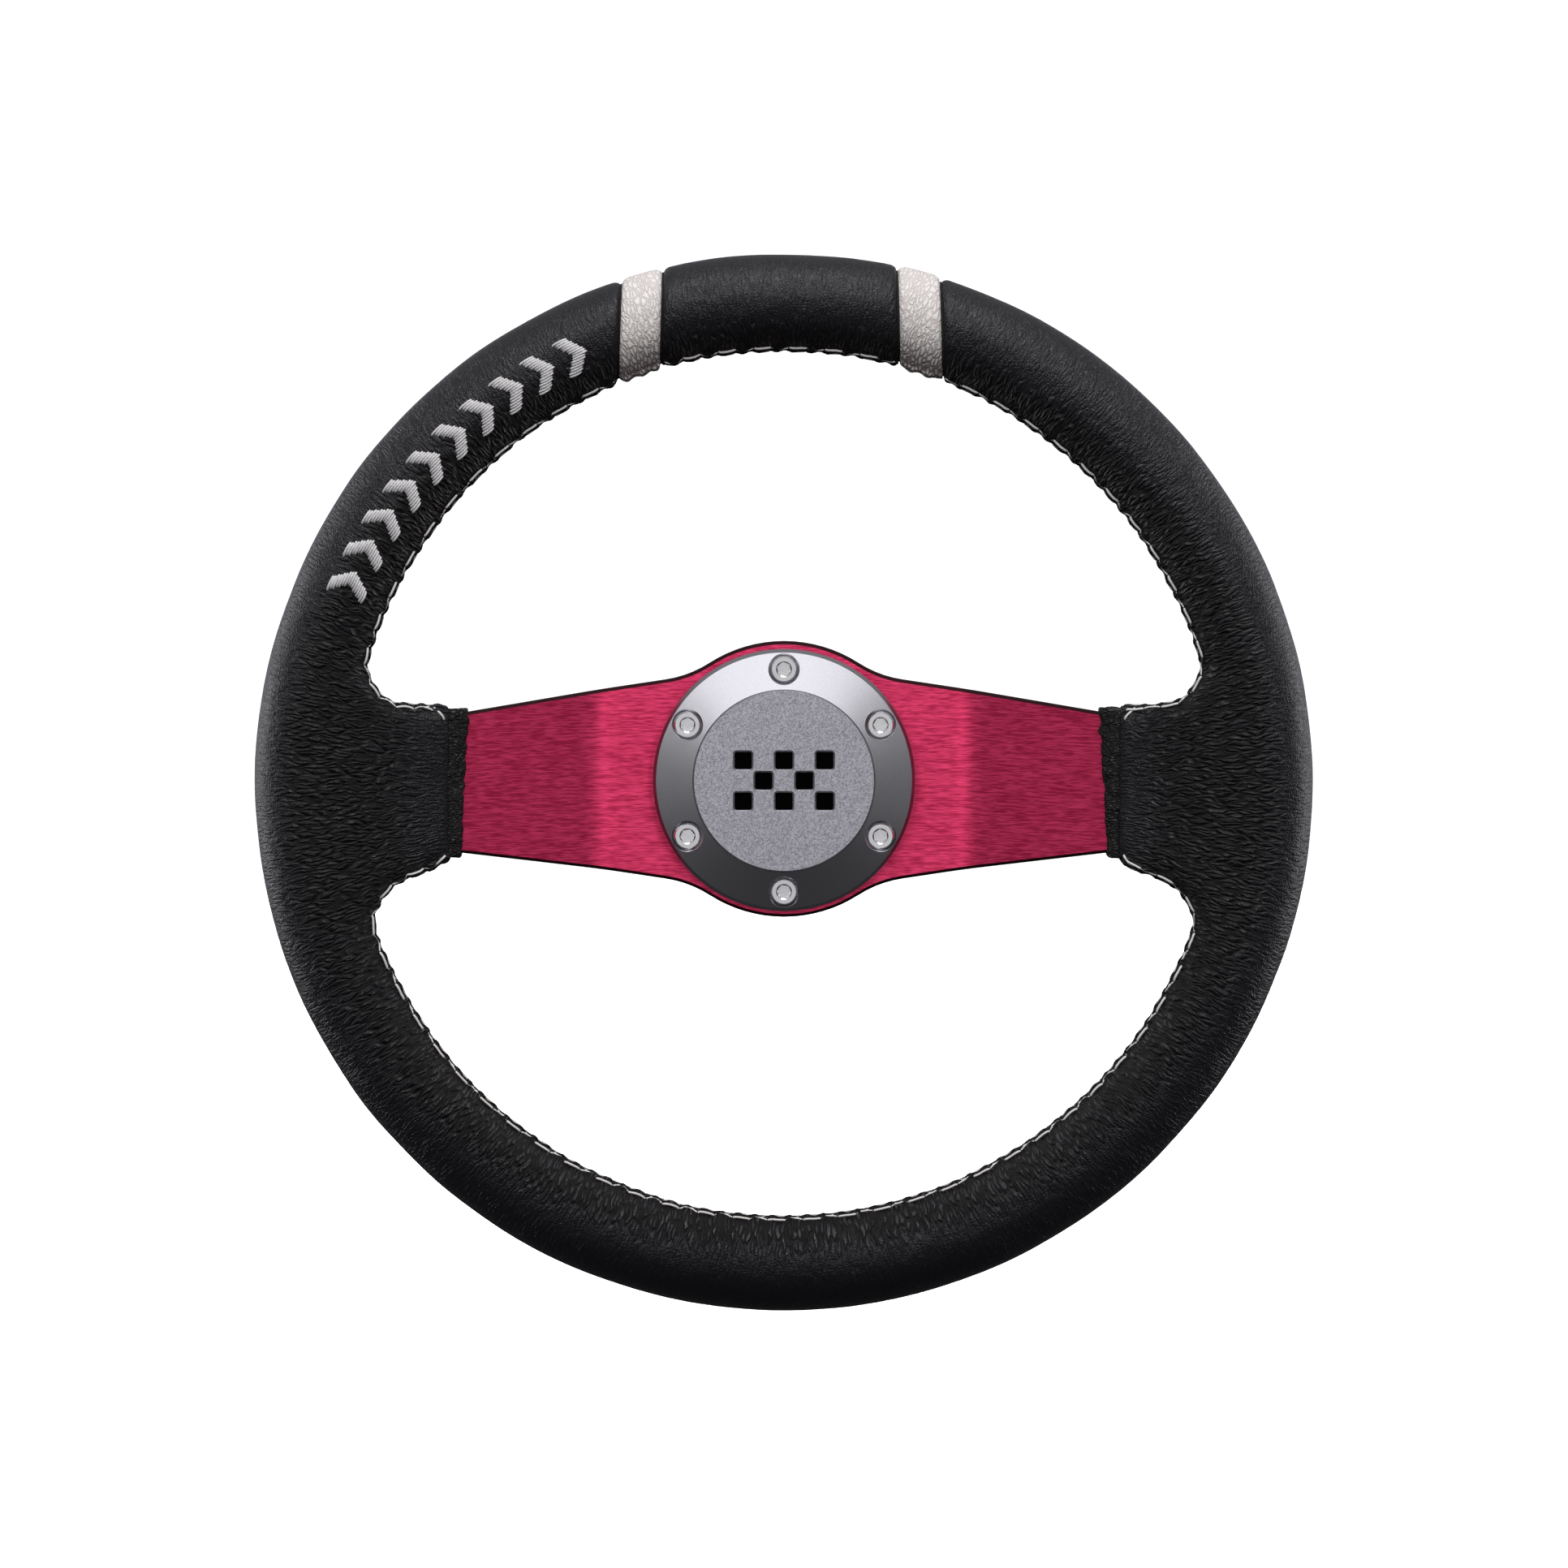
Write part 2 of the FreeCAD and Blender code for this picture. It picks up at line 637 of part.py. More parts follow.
def quick_release_hub():
    """Flange that bolts behind the plate, and barrel with the splined, ball-locked socket."""
    hub = turned(
        [
            (0, SPIGOT_FRONT),
            (SPIGOT_RADIUS, SPIGOT_FRONT),
            (SPIGOT_RADIUS, PLATE_BACK),
            (FLANGE_RADIUS - FLANGE_EDGE, PLATE_BACK),
            (FLANGE_RADIUS, PLATE_BACK + FLANGE_EDGE),
            (FLANGE_RADIUS, FLANGE_BACK - FLANGE_EDGE),
            (FLANGE_RADIUS - FLANGE_EDGE, FLANGE_BACK),
            (BARREL_RADIUS, FLANGE_BACK),
            (BARREL_RADIUS, -BARREL_EDGE),
            (BARREL_RADIUS - BARREL_EDGE, 0),
            (0, 0),
        ]
    )
    hub = hub.cut(rod(PILOT_RADIUS, SPLINE_TOP, 1))
    hub = hub.cut(cone(PILOT_RADIUS, PILOT_RADIUS + PILOT_EDGE, -PILOT_EDGE, 0))
    hub = hub.cut(rod(SEAL_GROOVE_RADIUS, *SEAL_GROOVE))
    hub = hub.cut(spline_tool())
    hub = hub.cut(bolt_holes(BOLT_RADIUS, PLATE_BACK - 1, FLANGE_BACK + 1))
    groove = rod(BARREL_RADIUS + 5, *CLIP_SPAN).cut(rod(CLIP_INSIDE, -5, 0))
    hub = hub.cut(groove)
    for number in range(BALL_COUNT):
        hub = hub.cut(ball_hole(number))
    places = [polar(WAIST_CIRCLE, 60 * step) for step in range(6)]
    return hub.cut([rod(WAIST_RADIUS, PLATE_BACK - 1, FLANGE_BACK + 1, at) for at in places])


def ball_hole(number):
    """Radial hole for one ball, with a narrower lip that keeps the ball from falling in."""
    out = polar(1, ball_direction(number))
    level = V(0, BALL_Y, 0)
    hole = Part.makeCylinder(
        BALL_RADIUS + BALL_FIT, 10, level + out * BALL_LIP_END, out
    )
    return hole.fuse(Part.makeCylinder(BALL_LIP_RADIUS, 5, level + out * 15, out))


def lock_ball(number):
    """One hardened steel ball, held in past the bore by the sleeve's cone."""
    centre = polar(BALL_CENTRE_RADIUS, ball_direction(number), BALL_Y)
    return Part.makeSphere(BALL_RADIUS, centre)


def cone_radius(y):
    """Radius of the sleeve's cone at y, which clears a ball by the ball's fit at every travel."""
    steep = math.hypot(1.0, CONE_SLOPE)
    at_ball = BALL_CENTRE_RADIUS + (BALL_RADIUS + BALL_FIT) * steep
    return at_ball + CONE_SLOPE * (y - BALL_Y)


def collar_sleeve():
    """Steel sleeve on the barrel: two lands that slide, and the cone that works the balls."""
    land = BARREL_RADIUS + SLIDE_FIT
    cone_start = BALL_Y - (cone_radius(BALL_Y) - land) / CONE_SLOPE
    cone_end = BALL_Y + COLLAR_TRAVEL + CONE_OVERRUN
    return turned(
        [
            (land, SLEEVE_START),
            (land, cone_start),
            (cone_radius(cone_end), cone_end),
            (cone_radius(cone_end), RELIEF_END),
            (land, RELIEF_END),
            (land, SLEEVE_END),
            (SLEEVE_RADIUS, SLEEVE_END),
            (SLEEVE_RADIUS, SLEEVE_START),
        ]
    )


def release_collar():
    """Aluminium pull ring round the sleeve, with a scalloped flange for the fingers."""
    edge = PULL_FLANGE_EDGE
    start, end = PULL_FLANGE
    collar = turned(
        [
            (SLEEVE_RADIUS, COLLAR_START),
            (COLLAR_RADIUS - COLLAR_FRONT_EDGE, COLLAR_START),
            (COLLAR_RADIUS, COLLAR_START + COLLAR_FRONT_EDGE),
            (COLLAR_RADIUS, start),
            (PULL_FLANGE_RADIUS - edge, start),
            (PULL_FLANGE_RADIUS, start + edge),
            (PULL_FLANGE_RADIUS, end - edge),
            (PULL_FLANGE_RADIUS - edge, end),
            (COLLAR_RADIUS, end),
            (COLLAR_RADIUS - COLLAR_BACK_EDGE, SLEEVE_END),
            (SLEEVE_RADIUS, SLEEVE_END),
        ]
    )
    step = 360.0 / SCALLOPS
    reach = PULL_FLANGE_RADIUS + SCALLOP_RADIUS * SCALLOP_OUT
    cuts = [
        rod(SCALLOP_RADIUS, start - 1, end + 1, polar(reach, step * n))
        for n in range(SCALLOPS)
    ]
    inside = COLLAR_RADIUS - BAND_DEPTH
    outside = PULL_FLANGE_RADIUS + 1
    bands = [
        rod(outside, y, y + BAND_WIDTH).cut(rod(inside, y, y + BAND_WIDTH))
        for y in BAND_STARTS
    ]
    return collar.cut(cuts).cut(bands)


def collar_spring():
    """Return spring, a coil of eight-sided wire between the flange and the end of the sleeve."""
    wire = SPRING_WIRE / 2
    length = SLEEVE_START - FLANGE_BACK - SPRING_WIRE - 2 * SPRING_END_GAP
    helix = Part.makeHelix(length / SPRING_TURNS, length, SPRING_RADIUS)
    corners = [V(SPRING_RADIUS, 0, 0) + V(*across) for across in octagon(wire)]
    coil = Part.Wire(helix).makePipeShell([Part.makePolygon(corners + corners[:1])], True, True)
    coil.rotate(CENTRE, V(1, 0, 0), -90)
    return coil.translated(V(0, FLANGE_BACK + wire + SPRING_END_GAP, 0))


def octagon(radius):
    """Corners of an eight-sided section in the plane of the coil's axis, flat sides up and down."""
    corner = radius / math.cos(math.pi / 8)
    turns = [math.pi * (2 * step + 1) / 8 for step in range(8)]
    return [(corner * math.cos(turn), 0, corner * math.sin(turn)) for turn in turns]


def retaining_ring():
    """Open spring-steel clip in the barrel's groove, which stops the collar."""
    start, end = CLIP_SPAN
    clip = rod(CLIP_OUTSIDE, start, end)
    lug_x = CLIP_GAP / 2 + CLIP_LUG_RADIUS
    lug_z = -CLIP_OUTSIDE + CLIP_LUG_RISE
    lugs = [V(-lug_x, 0, lug_z), V(lug_x, 0, lug_z)]
    clip = clip.fuse([rod(CLIP_LUG_RADIUS, start, end, lug) for lug in lugs])
    clip = clip.cut(rod(CLIP_INSIDE, start - 1, end + 1))
    gap = Part.makeBox(CLIP_GAP, 4, 20, V(-CLIP_GAP / 2, start - 1, -40))
    return clip.cut([gap] + [rod(CLIP_LUG_HOLE, start - 1, end + 1, lug) for lug in lugs])


def socket_seal():
    """Rubber ring in the groove behind the pilot bore."""
    middle = (SEAL_GROOVE[0] + SEAL_GROOVE[1]) / 2
    radius = SEAL_GROOVE_RADIUS - SEAL_SECTION - SEAL_FIT
    return Part.makeTorus(radius, SEAL_SECTION, V(0, middle, 0), AXIS)


def rattle_pad():
    """Rubber disc on the socket's floor that takes up end play."""
    top = SOCKET_FLOOR + PAD_THICKNESS
    return turned(
        [
            (0, SOCKET_FLOOR),
            (PAD_RADIUS, SOCKET_FLOOR),
            (PAD_RADIUS, top - PAD_EDGE),
            (PAD_RADIUS - PAD_EDGE, top),
            (0, top),
        ]
    )


def all_parts():
    """Every node's name and shape."""
    parts = leather_panels()
    parts["spoke_plate"] = spoke_plate()
    parts["rim_hoop"] = rim_hoop()
    parts["spoke_rivets"] = Part.makeCompound(rivets())
    parts["rim_foam"] = rim_foam()
    parts["cuff_right"] = cuff()
    parts["cuff_left"] = mirrored(cuff())
    parts["hub_ring"] = hub_ring()
    parts["centre_cap"] = centre_cap()
    parts["badge_inlay"] = badge_inlay()
    parts["hub_bolts"] = hub_bolts()
    parts["cap_screws"] = cap_screws()
    parts["quick_release_hub"] = quick_release_hub()
    parts["release_collar"] = release_collar()
    parts["collar_sleeve"] = collar_sleeve()
    parts["collar_spring"] = collar_spring()
    parts["retaining_ring"] = retaining_ring()
    parts["socket_seal"] = socket_seal()
    parts["rattle_pad"] = rattle_pad()
    for number in range(BALL_COUNT):
        parts[f"lock_ball_{number + 1}"] = lock_ball(number)
    return parts


def main():
    os.makedirs("parts", exist_ok=True)
    for name, shape in sorted(all_parts().items()):
        state = "ok" if shape.isValid() and shape.Solids else "NOT VALID"
        litres = sum(solid.Volume for solid in shape.Solids) / 1e6
        print(f"{name:18s} {len(shape.Solids):2d} solid(s) {litres:.4f} litres {state}")
        shape.exportStep(f"parts/{name}.step")


main()
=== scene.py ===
# %% [markdown]
# # A quick-release steering wheel
# The wheel is a bent aluminium plate bolted to a quick-release hub, with a foam and leather grip
# round its hoop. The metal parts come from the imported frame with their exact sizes, so they only
# need finishes here. The leather, its stitches and its embroidery are soft or sewn, so they are
# modelled in this file and stand in for the frame's plain solids.

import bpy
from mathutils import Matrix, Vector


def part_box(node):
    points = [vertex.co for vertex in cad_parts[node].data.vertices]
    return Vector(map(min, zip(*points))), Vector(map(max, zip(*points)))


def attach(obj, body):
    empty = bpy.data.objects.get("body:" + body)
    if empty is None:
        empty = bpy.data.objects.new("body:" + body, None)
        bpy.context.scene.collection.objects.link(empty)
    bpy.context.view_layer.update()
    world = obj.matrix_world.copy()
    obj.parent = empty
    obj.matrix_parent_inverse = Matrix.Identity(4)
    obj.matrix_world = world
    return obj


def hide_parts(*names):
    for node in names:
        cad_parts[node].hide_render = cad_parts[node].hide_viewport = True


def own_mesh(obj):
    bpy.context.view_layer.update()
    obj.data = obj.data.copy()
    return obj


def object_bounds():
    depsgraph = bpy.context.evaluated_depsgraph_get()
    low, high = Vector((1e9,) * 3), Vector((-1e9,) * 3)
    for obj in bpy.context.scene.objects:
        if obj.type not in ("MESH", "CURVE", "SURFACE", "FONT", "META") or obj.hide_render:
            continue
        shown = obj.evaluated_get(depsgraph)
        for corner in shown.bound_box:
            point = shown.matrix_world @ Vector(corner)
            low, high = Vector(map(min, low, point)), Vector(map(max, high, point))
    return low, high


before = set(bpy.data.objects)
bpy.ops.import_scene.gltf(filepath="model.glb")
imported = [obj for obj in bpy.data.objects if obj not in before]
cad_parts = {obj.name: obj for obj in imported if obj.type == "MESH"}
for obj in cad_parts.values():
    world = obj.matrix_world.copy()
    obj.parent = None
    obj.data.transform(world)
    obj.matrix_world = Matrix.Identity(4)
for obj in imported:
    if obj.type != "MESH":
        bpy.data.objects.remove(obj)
cad_low, cad_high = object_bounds()

# %% [markdown]
# Blender's operators act on whatever is selected, so every step starts by choosing one piece.
# These helpers do that choosing, open and close edit mode, and apply a modifier at once, which
# leaves each finished piece as a plain mesh.

# %% Helpers for selecting, editing and modifiers
import math
from contextlib import contextmanager

import bpy
from mathutils import Vector, kdtree, noise
from mathutils.bvhtree import BVHTree

MM = 0.001


def select_only(piece):
    bpy.ops.object.select_all(action="DESELECT")
    piece.select_set(True)
    bpy.context.view_layer.objects.active = piece


@contextmanager
def editing(piece, mode="VERT"):
    select_only(piece)
    bpy.ops.object.mode_set(mode="EDIT")
    bpy.ops.mesh.select_mode(type=mode)
    bpy.ops.mesh.select_all(action="SELECT")
    yield
    bpy.ops.object.mode_set(mode="OBJECT")


def select_faces(piece, test):
    """In edit mode, selects the faces whose centre passes the test."""
    bpy.ops.mesh.select_all(action="DESELECT")
    bpy.ops.object.mode_set(mode="OBJECT")
    for face in piece.data.polygons:
        face.select = test(face.center)
    bpy.ops.object.mode_set(mode="EDIT")


def apply_modifier(piece, kind, **settings):
    modifier = piece.modifiers.new(kind, kind)
    for name, value in settings.items():
        setattr(modifier, name, value)
    select_only(piece)
    bpy.ops.object.modifier_apply(modifier=modifier.name)


def copy_of(piece, name):
    twin = piece.copy()
    twin.data = piece.data.copy()
    twin.name = name
    twin.data.name = name
    bpy.context.collection.objects.link(twin)
    return twin


def join_into(first, others):
    select_only(first)
    for piece in others:
        piece.select_set(True)
    bpy.ops.object.join()
    return first


def shade_smooth(piece, degrees=40):
    select_only(piece)
    bpy.ops.object.shade_smooth_by_angle(angle=math.radians(degrees))


# %% [markdown]
# A finish is a small graph of nodes. One function adds a node, sets its values and links what
# feeds it: an input can be given a number, a colour, another node's socket, or another node,
# which means the first output that it has in use. A second function turns the sRGB hex values
# that a person picks into the linear values that Blender mixes.

# %% Helpers for finishes


def linear(hex_colour):
    channels = [int(hex_colour[i : i + 2], 16) / 255 for i in (1, 3, 5)]
    return [c / 12.92 if c <= 0.04045 else ((c + 0.055) / 1.055) ** 2.4 for c in channels] + [1.0]


def add_node(tree, kind, inputs=None, **settings):
    node = tree.nodes.new(kind)
    for name, value in settings.items():
        setattr(node, name, value)
    for key, value in (inputs or {}).items():
        if isinstance(value, bpy.types.Node):
            value = next(socket for socket in value.outputs if socket.enabled)
        if isinstance(value, bpy.types.NodeSocket):
            tree.links.new(value, node.inputs[key])
        else:
            node.inputs[key].default_value = value
    return node


def new_finish(name):
    """An empty material, its node tree, and its pieces' own coordinates in metres."""
    finish = bpy.data.materials.new(name)
    finish.use_nodes = True
    tree = finish.node_tree
    tree.nodes.clear()
    return finish, tree, add_node(tree, "ShaderNodeTexCoord").outputs["Object"]


def surface(tree, **inputs):
    """Ends the finish with one Principled shader; inputs are its sockets, with _ for a space."""
    named = {name.replace("_", " "): value for name, value in inputs.items()}
    shader = add_node(tree, "ShaderNodeBsdfPrincipled", named)
    add_node(tree, "ShaderNodeOutputMaterial", {"Surface": shader})


# %% [markdown]
# ## Leather
# The grip is wrapped in drum-dyed cowhide. Two things show on it: a pebble grain of cells a
# little under a millimetre wide, and creases that run across the rim, where the hide was pulled
# round the hoop and shrank towards the seam. Creases could be painted on a UV map, but the rim is
# round, so a point's direction from the steering axis already says where it lies along the rim.
# Noise that is fine along that direction and coarse across it makes creases that stay radial.

# %% Where the rim lies
RIM_BOX_LOW, RIM_BOX_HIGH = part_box("grip_leather")
RIM_OUTSIDE = RIM_BOX_HIGH.x
GRIP_HALF_WIDTH = 15 * MM
RIM_RADIUS = RIM_OUTSIDE - GRIP_HALF_WIDTH
RIM_INSIDE = RIM_RADIUS - GRIP_HALF_WIDTH
GRIP_HALF_DEPTH = (RIM_BOX_HIGH.y - RIM_BOX_LOW.y) / 2
RIM_PLANE = (RIM_BOX_HIGH.y + RIM_BOX_LOW.y) / 2
print(f"rim radius {RIM_RADIUS:.4f} m in the plane y = {RIM_PLANE:.4f} m")

# %% Patterns in the hide
SIDE_EASE = 0.93


def across_the_rim(tree, point, along, across):
    """Coordinates in cells of those sizes along and across the rim, and distance to its axis.

    The distance counts less sideways, so that what depends on it reaches further out there."""
    parts = add_node(tree, "ShaderNodeSeparateXYZ", {0: point})
    flat = add_node(
        tree, "ShaderNodeCombineXYZ", {"X": parts.outputs["X"], "Z": parts.outputs["Z"]}
    )
    outward = add_node(tree, "ShaderNodeVectorMath", {0: flat}, operation="NORMALIZE")
    quick = add_node(
        tree, "ShaderNodeVectorMath", {0: outward, "Scale": RIM_RADIUS / along}, operation="SCALE"
    )
    slow = add_node(
        tree, "ShaderNodeVectorMath", {0: point, "Scale": 1 / across}, operation="SCALE"
    )
    cells = add_node(tree, "ShaderNodeVectorMath", {0: quick, 1: slow}, operation="ADD")
    eased = add_node(
        tree, "ShaderNodeVectorMath", {0: flat, 1: (SIDE_EASE, 1, 1)}, operation="MULTIPLY"
    )
    return cells, add_node(tree, "ShaderNodeVectorMath", {0: eased}, operation="LENGTH")


def furrows(tree, cells, wall):
    """1 on each cell of a net, falling to 0 in the furrows between cells."""
    edge = add_node(tree, "ShaderNodeTexVoronoi", {"Vector": cells}, feature="DISTANCE_TO_EDGE")
    edge.inputs["Scale"].default_value = 1.0
    return add_node(
        tree,
        "ShaderNodeMapRange",
        {"Value": edge, "From Max": wall},
        interpolation_type="SMOOTHSTEP",
    )


print("creases run across the rim, eased by", SIDE_EASE, "at its sides")

# %% [markdown]
# One recipe makes all the hide. A net of long cells gives the creases and a net of small round
# ones the pebbles. Noise bends both, because no crease on a hide is straight. The creases are
# strong on the inside of the rim, where the hide is gathered, and faint on the outside and beside
# the bindings, where it is pulled tight. The furrows get a painted shade, a darker colour laid in
# the creases, and are made duller than the hide's polished top, so the same net drives both.

# %% The recipe for hide
CREASE_WANDER = 1.4
CREASE_WALL = 0.28
PEBBLE_WALL = 0.25
PEBBLE_RELIEF = 0.12
CREASED_TO = RIM_INSIDE + 2 * MM
SMOOTH_FROM = RIM_INSIDE + 13 * MM
TIGHT_TO = 101 * MM
LOOSE_FROM = 119 * MM
FURROW_ROUGHNESS = 0.8
HIDE_IOR = 1.48


def leather(
    name, base, crease_shade_colour, roughness, gloss, grain, crease, crease_length, depth, crown, calm
):
    """Grained hide, sizes in metres. Crown and calm are the shares of the creasing that the
    outside of the rim and the stretched hide beside the spokes' bindings keep."""
    finish, tree, point = new_finish(name)
    wander = add_node(
        tree, "ShaderNodeTexNoise", {"Vector": point, "Scale": 0.3 / crease, "Detail": 2.0}
    )
    shift = add_node(
        tree,
        "ShaderNodeVectorMath",
        {0: wander.outputs["Color"], "Scale": crease * CREASE_WANDER},
        operation="SCALE",
    )
    bent = add_node(tree, "ShaderNodeVectorMath", {0: point, 1: shift}, operation="ADD")
    cells, distance = across_the_rim(tree, bent, crease, crease_length)
    folds = furrows(tree, cells, CREASE_WALL)
    grains = add_node(
        tree, "ShaderNodeVectorMath", {0: bent, "Scale": 1 / grain}, operation="SCALE"
    )
    pebbles = furrows(tree, grains, PEBBLE_WALL)
    inside = add_node(
        tree,
        "ShaderNodeMapRange",
        {
            "Value": distance,
            "From Min": CREASED_TO,
            "From Max": SMOOTH_FROM,
            "To Min": 1.0,
            "To Max": crown,
        },
        interpolation_type="SMOOTHSTEP",
    )
    stretched = add_node(
        tree,
        "ShaderNodeMapRange",
        {"Value": distance, "From Min": TIGHT_TO, "From Max": LOOSE_FROM, "To Min": calm},
        interpolation_type="SMOOTHSTEP",
    )
    strength = add_node(tree, "ShaderNodeMath", {0: inside, 1: stretched}, operation="MULTIPLY")
    height = add_node(tree, "ShaderNodeMath", {0: folds, 1: strength}, operation="MULTIPLY")
    pebble_bump = add_node(
        tree,
        "ShaderNodeBump",
        {"Height": pebbles, "Strength": 0.7, "Distance": grain * PEBBLE_RELIEF},
    )
    bump = add_node(
        tree,
        "ShaderNodeBump",
        {"Height": height, "Strength": 1.0, "Distance": depth, "Normal": pebble_bump},
    )
    # Painted shade: the furrows are mixed towards a darker colour, where shade would fall in the
    # creases.
    open_fold = add_node(tree, "ShaderNodeMath", {0: 1.0, 1: folds}, operation="SUBTRACT")
    shade = add_node(tree, "ShaderNodeMath", {0: open_fold, 1: strength}, operation="MULTIPLY")
    colour = add_node(
        tree,
        "ShaderNodeMix",
        {"Factor": shade, "A": linear(base), "B": linear(crease_shade_colour)},
        data_type="RGBA",
    )
    dull = add_node(
        tree,
        "ShaderNodeMapRange",
        {"Value": shade, "To Min": roughness, "To Max": FURROW_ROUGHNESS},
    )
    surface(
        tree,
        Base_Color=colour,
        Roughness=dull,
        Normal=bump,
        IOR=HIDE_IOR,
        Specular_IOR_Level=gloss,
    )
    return finish


print("furrows are strongest within", round(CREASED_TO / MM), "mm of the axis")

# %% The three hides
# Drum dyeing takes the black right through: no edge shows pale, and only the crests shine.
BLACK_HIDE = leather(
    name="drum_dyed_black_cowhide",
    base="#151318",
    crease_shade_colour="#010101",
    roughness=0.36,
    gloss=0.4,
    grain=0.85 * MM,
    crease=1.7 * MM,
    crease_length=6.0 * MM,
    depth=0.9 * MM,
    crown=0.12,
    calm=0.12,
)
# White hide is painted over its grain, so it is even and a little warm; its furrows carry a painted
# shade.
WHITE_HIDE = leather(
    name="painted_white_cowhide",
    base="#f2ece9",
    crease_shade_colour="#9a908b",
    roughness=0.48,
    gloss=0.45,
    grain=0.9 * MM,
    crease=1.9 * MM,
    crease_length=3.0 * MM,
    depth=0.4 * MM,
    crown=0.4,
    calm=1.0,
)
# The bindings are a thinner strip, folded over and pressed: glossier, with short hard wrinkles.
CUFF_HIDE = leather(
    name="folded_black_cowhide",
    base="#1a181c",
    crease_shade_colour="#010101",
    roughness=0.34,
    gloss=0.5,
    grain=0.9 * MM,
    crease=1.6 * MM,
    crease_length=2.0 * MM,
    depth=0.7 * MM,
    crown=1.0,
    calm=1.0,
)
print("leather finishes:", BLACK_HIDE.name, WHITE_HIDE.name, CUFF_HIDE.name)

# %% [markdown]
# ## The padded grip
# Under the leather, the grip is one piece of moulded foam: a ring of oval section that swells
# out along each spoke. It starts here as a torus and two lofts that pass through each other. A
# boolean would leave a hard crease between them, so they are remeshed together on a fine grid,
# which merges them into one skin of even quads, and then smoothed where they meet.

# %% The ring
PANEL_GRID = 1.35 * MM
bpy.ops.object.select_all(action="DESELECT")
bpy.ops.mesh.primitive_torus_add(
    major_segments=200,
    minor_segments=40,
    major_radius=RIM_RADIUS,
    minor_radius=GRIP_HALF_WIDTH,
    location=(0, RIM_PLANE, 0),
    rotation=(math.pi / 2, 0, 0),
)
grip = bpy.context.object
bpy.ops.object.transform_apply(location=True, rotation=True, scale=True)
with editing(grip):
    bpy.ops.transform.resize(
        value=(1, GRIP_HALF_DEPTH / GRIP_HALF_WIDTH, 1), center_override=(0, RIM_PLANE, 0)
    )
print("ring:", len(grip.data.polygons), "faces")

# %% The spokes' roots
# Each section is its distance from the axis, bottom, top and half thickness, in millimetres.
ROOT_SECTIONS = [
    (104.3, -24.0, 24.6, 4.8),
    (110.0, -27.6, 25.0, 6.0),
    (117.0, -29.8, 25.4, 7.6),
    (122.0, -32.2, 25.8, 9.0),
    (126.0, -37.0, 28.2, 10.2),
    (129.0, -43.5, 33.5, 11.0),
    (135.0, -52.0, 42.0, 12.0),
    (148.0, -60.0, 50.0, 12.8),
]
ROOT_START = ROOT_SECTIONS[0][0] * MM
ROOT_LEVEL_X = 135 * MM
ROOT_SIDES = 40
CUFF_HALF_DEPTH = 4.0 * MM
MOUTH_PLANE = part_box("cuff_right")[0].y + CUFF_HALF_DEPTH


def root_middle(x):
    """Depth of the root's middle surface, from the spoke's mouth out to the rim's plane."""
    along = min((x - ROOT_START) / (ROOT_LEVEL_X - ROOT_START), 1.0)
    return MOUTH_PLANE + along * (RIM_PLANE - MOUTH_PLANE)


def slot_point(section, angle):
    """A point of a slot-shaped section: straight sides, half-round at the top and the bottom."""
    x, low, high, half = [value * MM for value in section]
    level = high - half if math.sin(angle) >= 0 else low + half
    return Vector((x, root_middle(x) + half * math.cos(angle), level + half * math.sin(angle)))


def spoke_root(side):
    bpy.ops.object.select_all(action="DESELECT")
    bpy.ops.mesh.primitive_circle_add(
        vertices=ROOT_SIDES, radius=MM, fill_type="NGON", rotation=(0, math.pi / 2, 0)
    )
    piece = bpy.context.object
    bpy.ops.object.transform_apply(location=True, rotation=True, scale=True)
    with editing(piece, "FACE"):
        for _ in ROOT_SECTIONS[1:]:
            bpy.ops.mesh.extrude_region_move(TRANSFORM_OT_translate={"value": (MM, 0, 0)})
    for vertex in piece.data.vertices:
        section = ROOT_SECTIONS[round(vertex.co.x / MM)]
        point = slot_point(section, math.atan2(vertex.co.z, vertex.co.y))
        vertex.co = (side * point.x, point.y, point.z)
    with editing(piece):
        bpy.ops.mesh.normals_make_consistent(inside=False)
    return piece


roots = [spoke_root(side) for side in (1, -1)]
print("roots:", [len(root.data.polygons) for root in roots], "faces")

# %% One skin, smoothed where the roots meet the ring
JUNCTION_INSET, JUNCTION_FADE = 6 * MM, 12 * MM
JUNCTION_TOP, TOP_FADE = 66 * MM, 16 * MM
MOUTH_KEPT, MOUTH_FADE = 2 * MM, 6 * MM

grip = join_into(grip, roots)
apply_modifier(grip, "REMESH", mode="VOXEL", voxel_size=PANEL_GRID, use_smooth_shade=True)
apply_modifier(grip, "SMOOTH", factor=0.5, iterations=6)
junction = grip.vertex_groups.new(name="junction")
for vertex in grip.data.vertices:
    inward = (RIM_OUTSIDE - JUNCTION_INSET - abs(vertex.co.x)) / JUNCTION_FADE
    level = (JUNCTION_TOP - abs(vertex.co.z)) / TOP_FADE
    mouth = (abs(vertex.co.x) - ROOT_START - MOUTH_KEPT) / MOUTH_FADE
    weight = min(1.0, inward, level, mouth)
    if weight > 0:
        junction.add([vertex.index], weight, "REPLACE")
apply_modifier(grip, "SMOOTH", factor=0.5, iterations=26, vertex_group="junction")
grip.vertex_groups.clear()
print("grip skin:", len(grip.data.polygons), "faces")

# %% [markdown]
# ## The seam
# The hide is closed by hand along the inside of the rim, and the seam forks at each spoke to run
# along its top and bottom edge to the binding. Two routes hold it: one over the top, one round
# the bottom. Each follows a circle and the roots' edges, and is then dropped onto the skin, which
# is simpler than searching the mesh for its silhouette.

# %% Seam routes
SEAM_FORWARD = 4.2 * MM
STITCH_PITCH = 5.3 * MM
ROUTE_STEP = 0.5 * MM
ARC_STEPS = 180
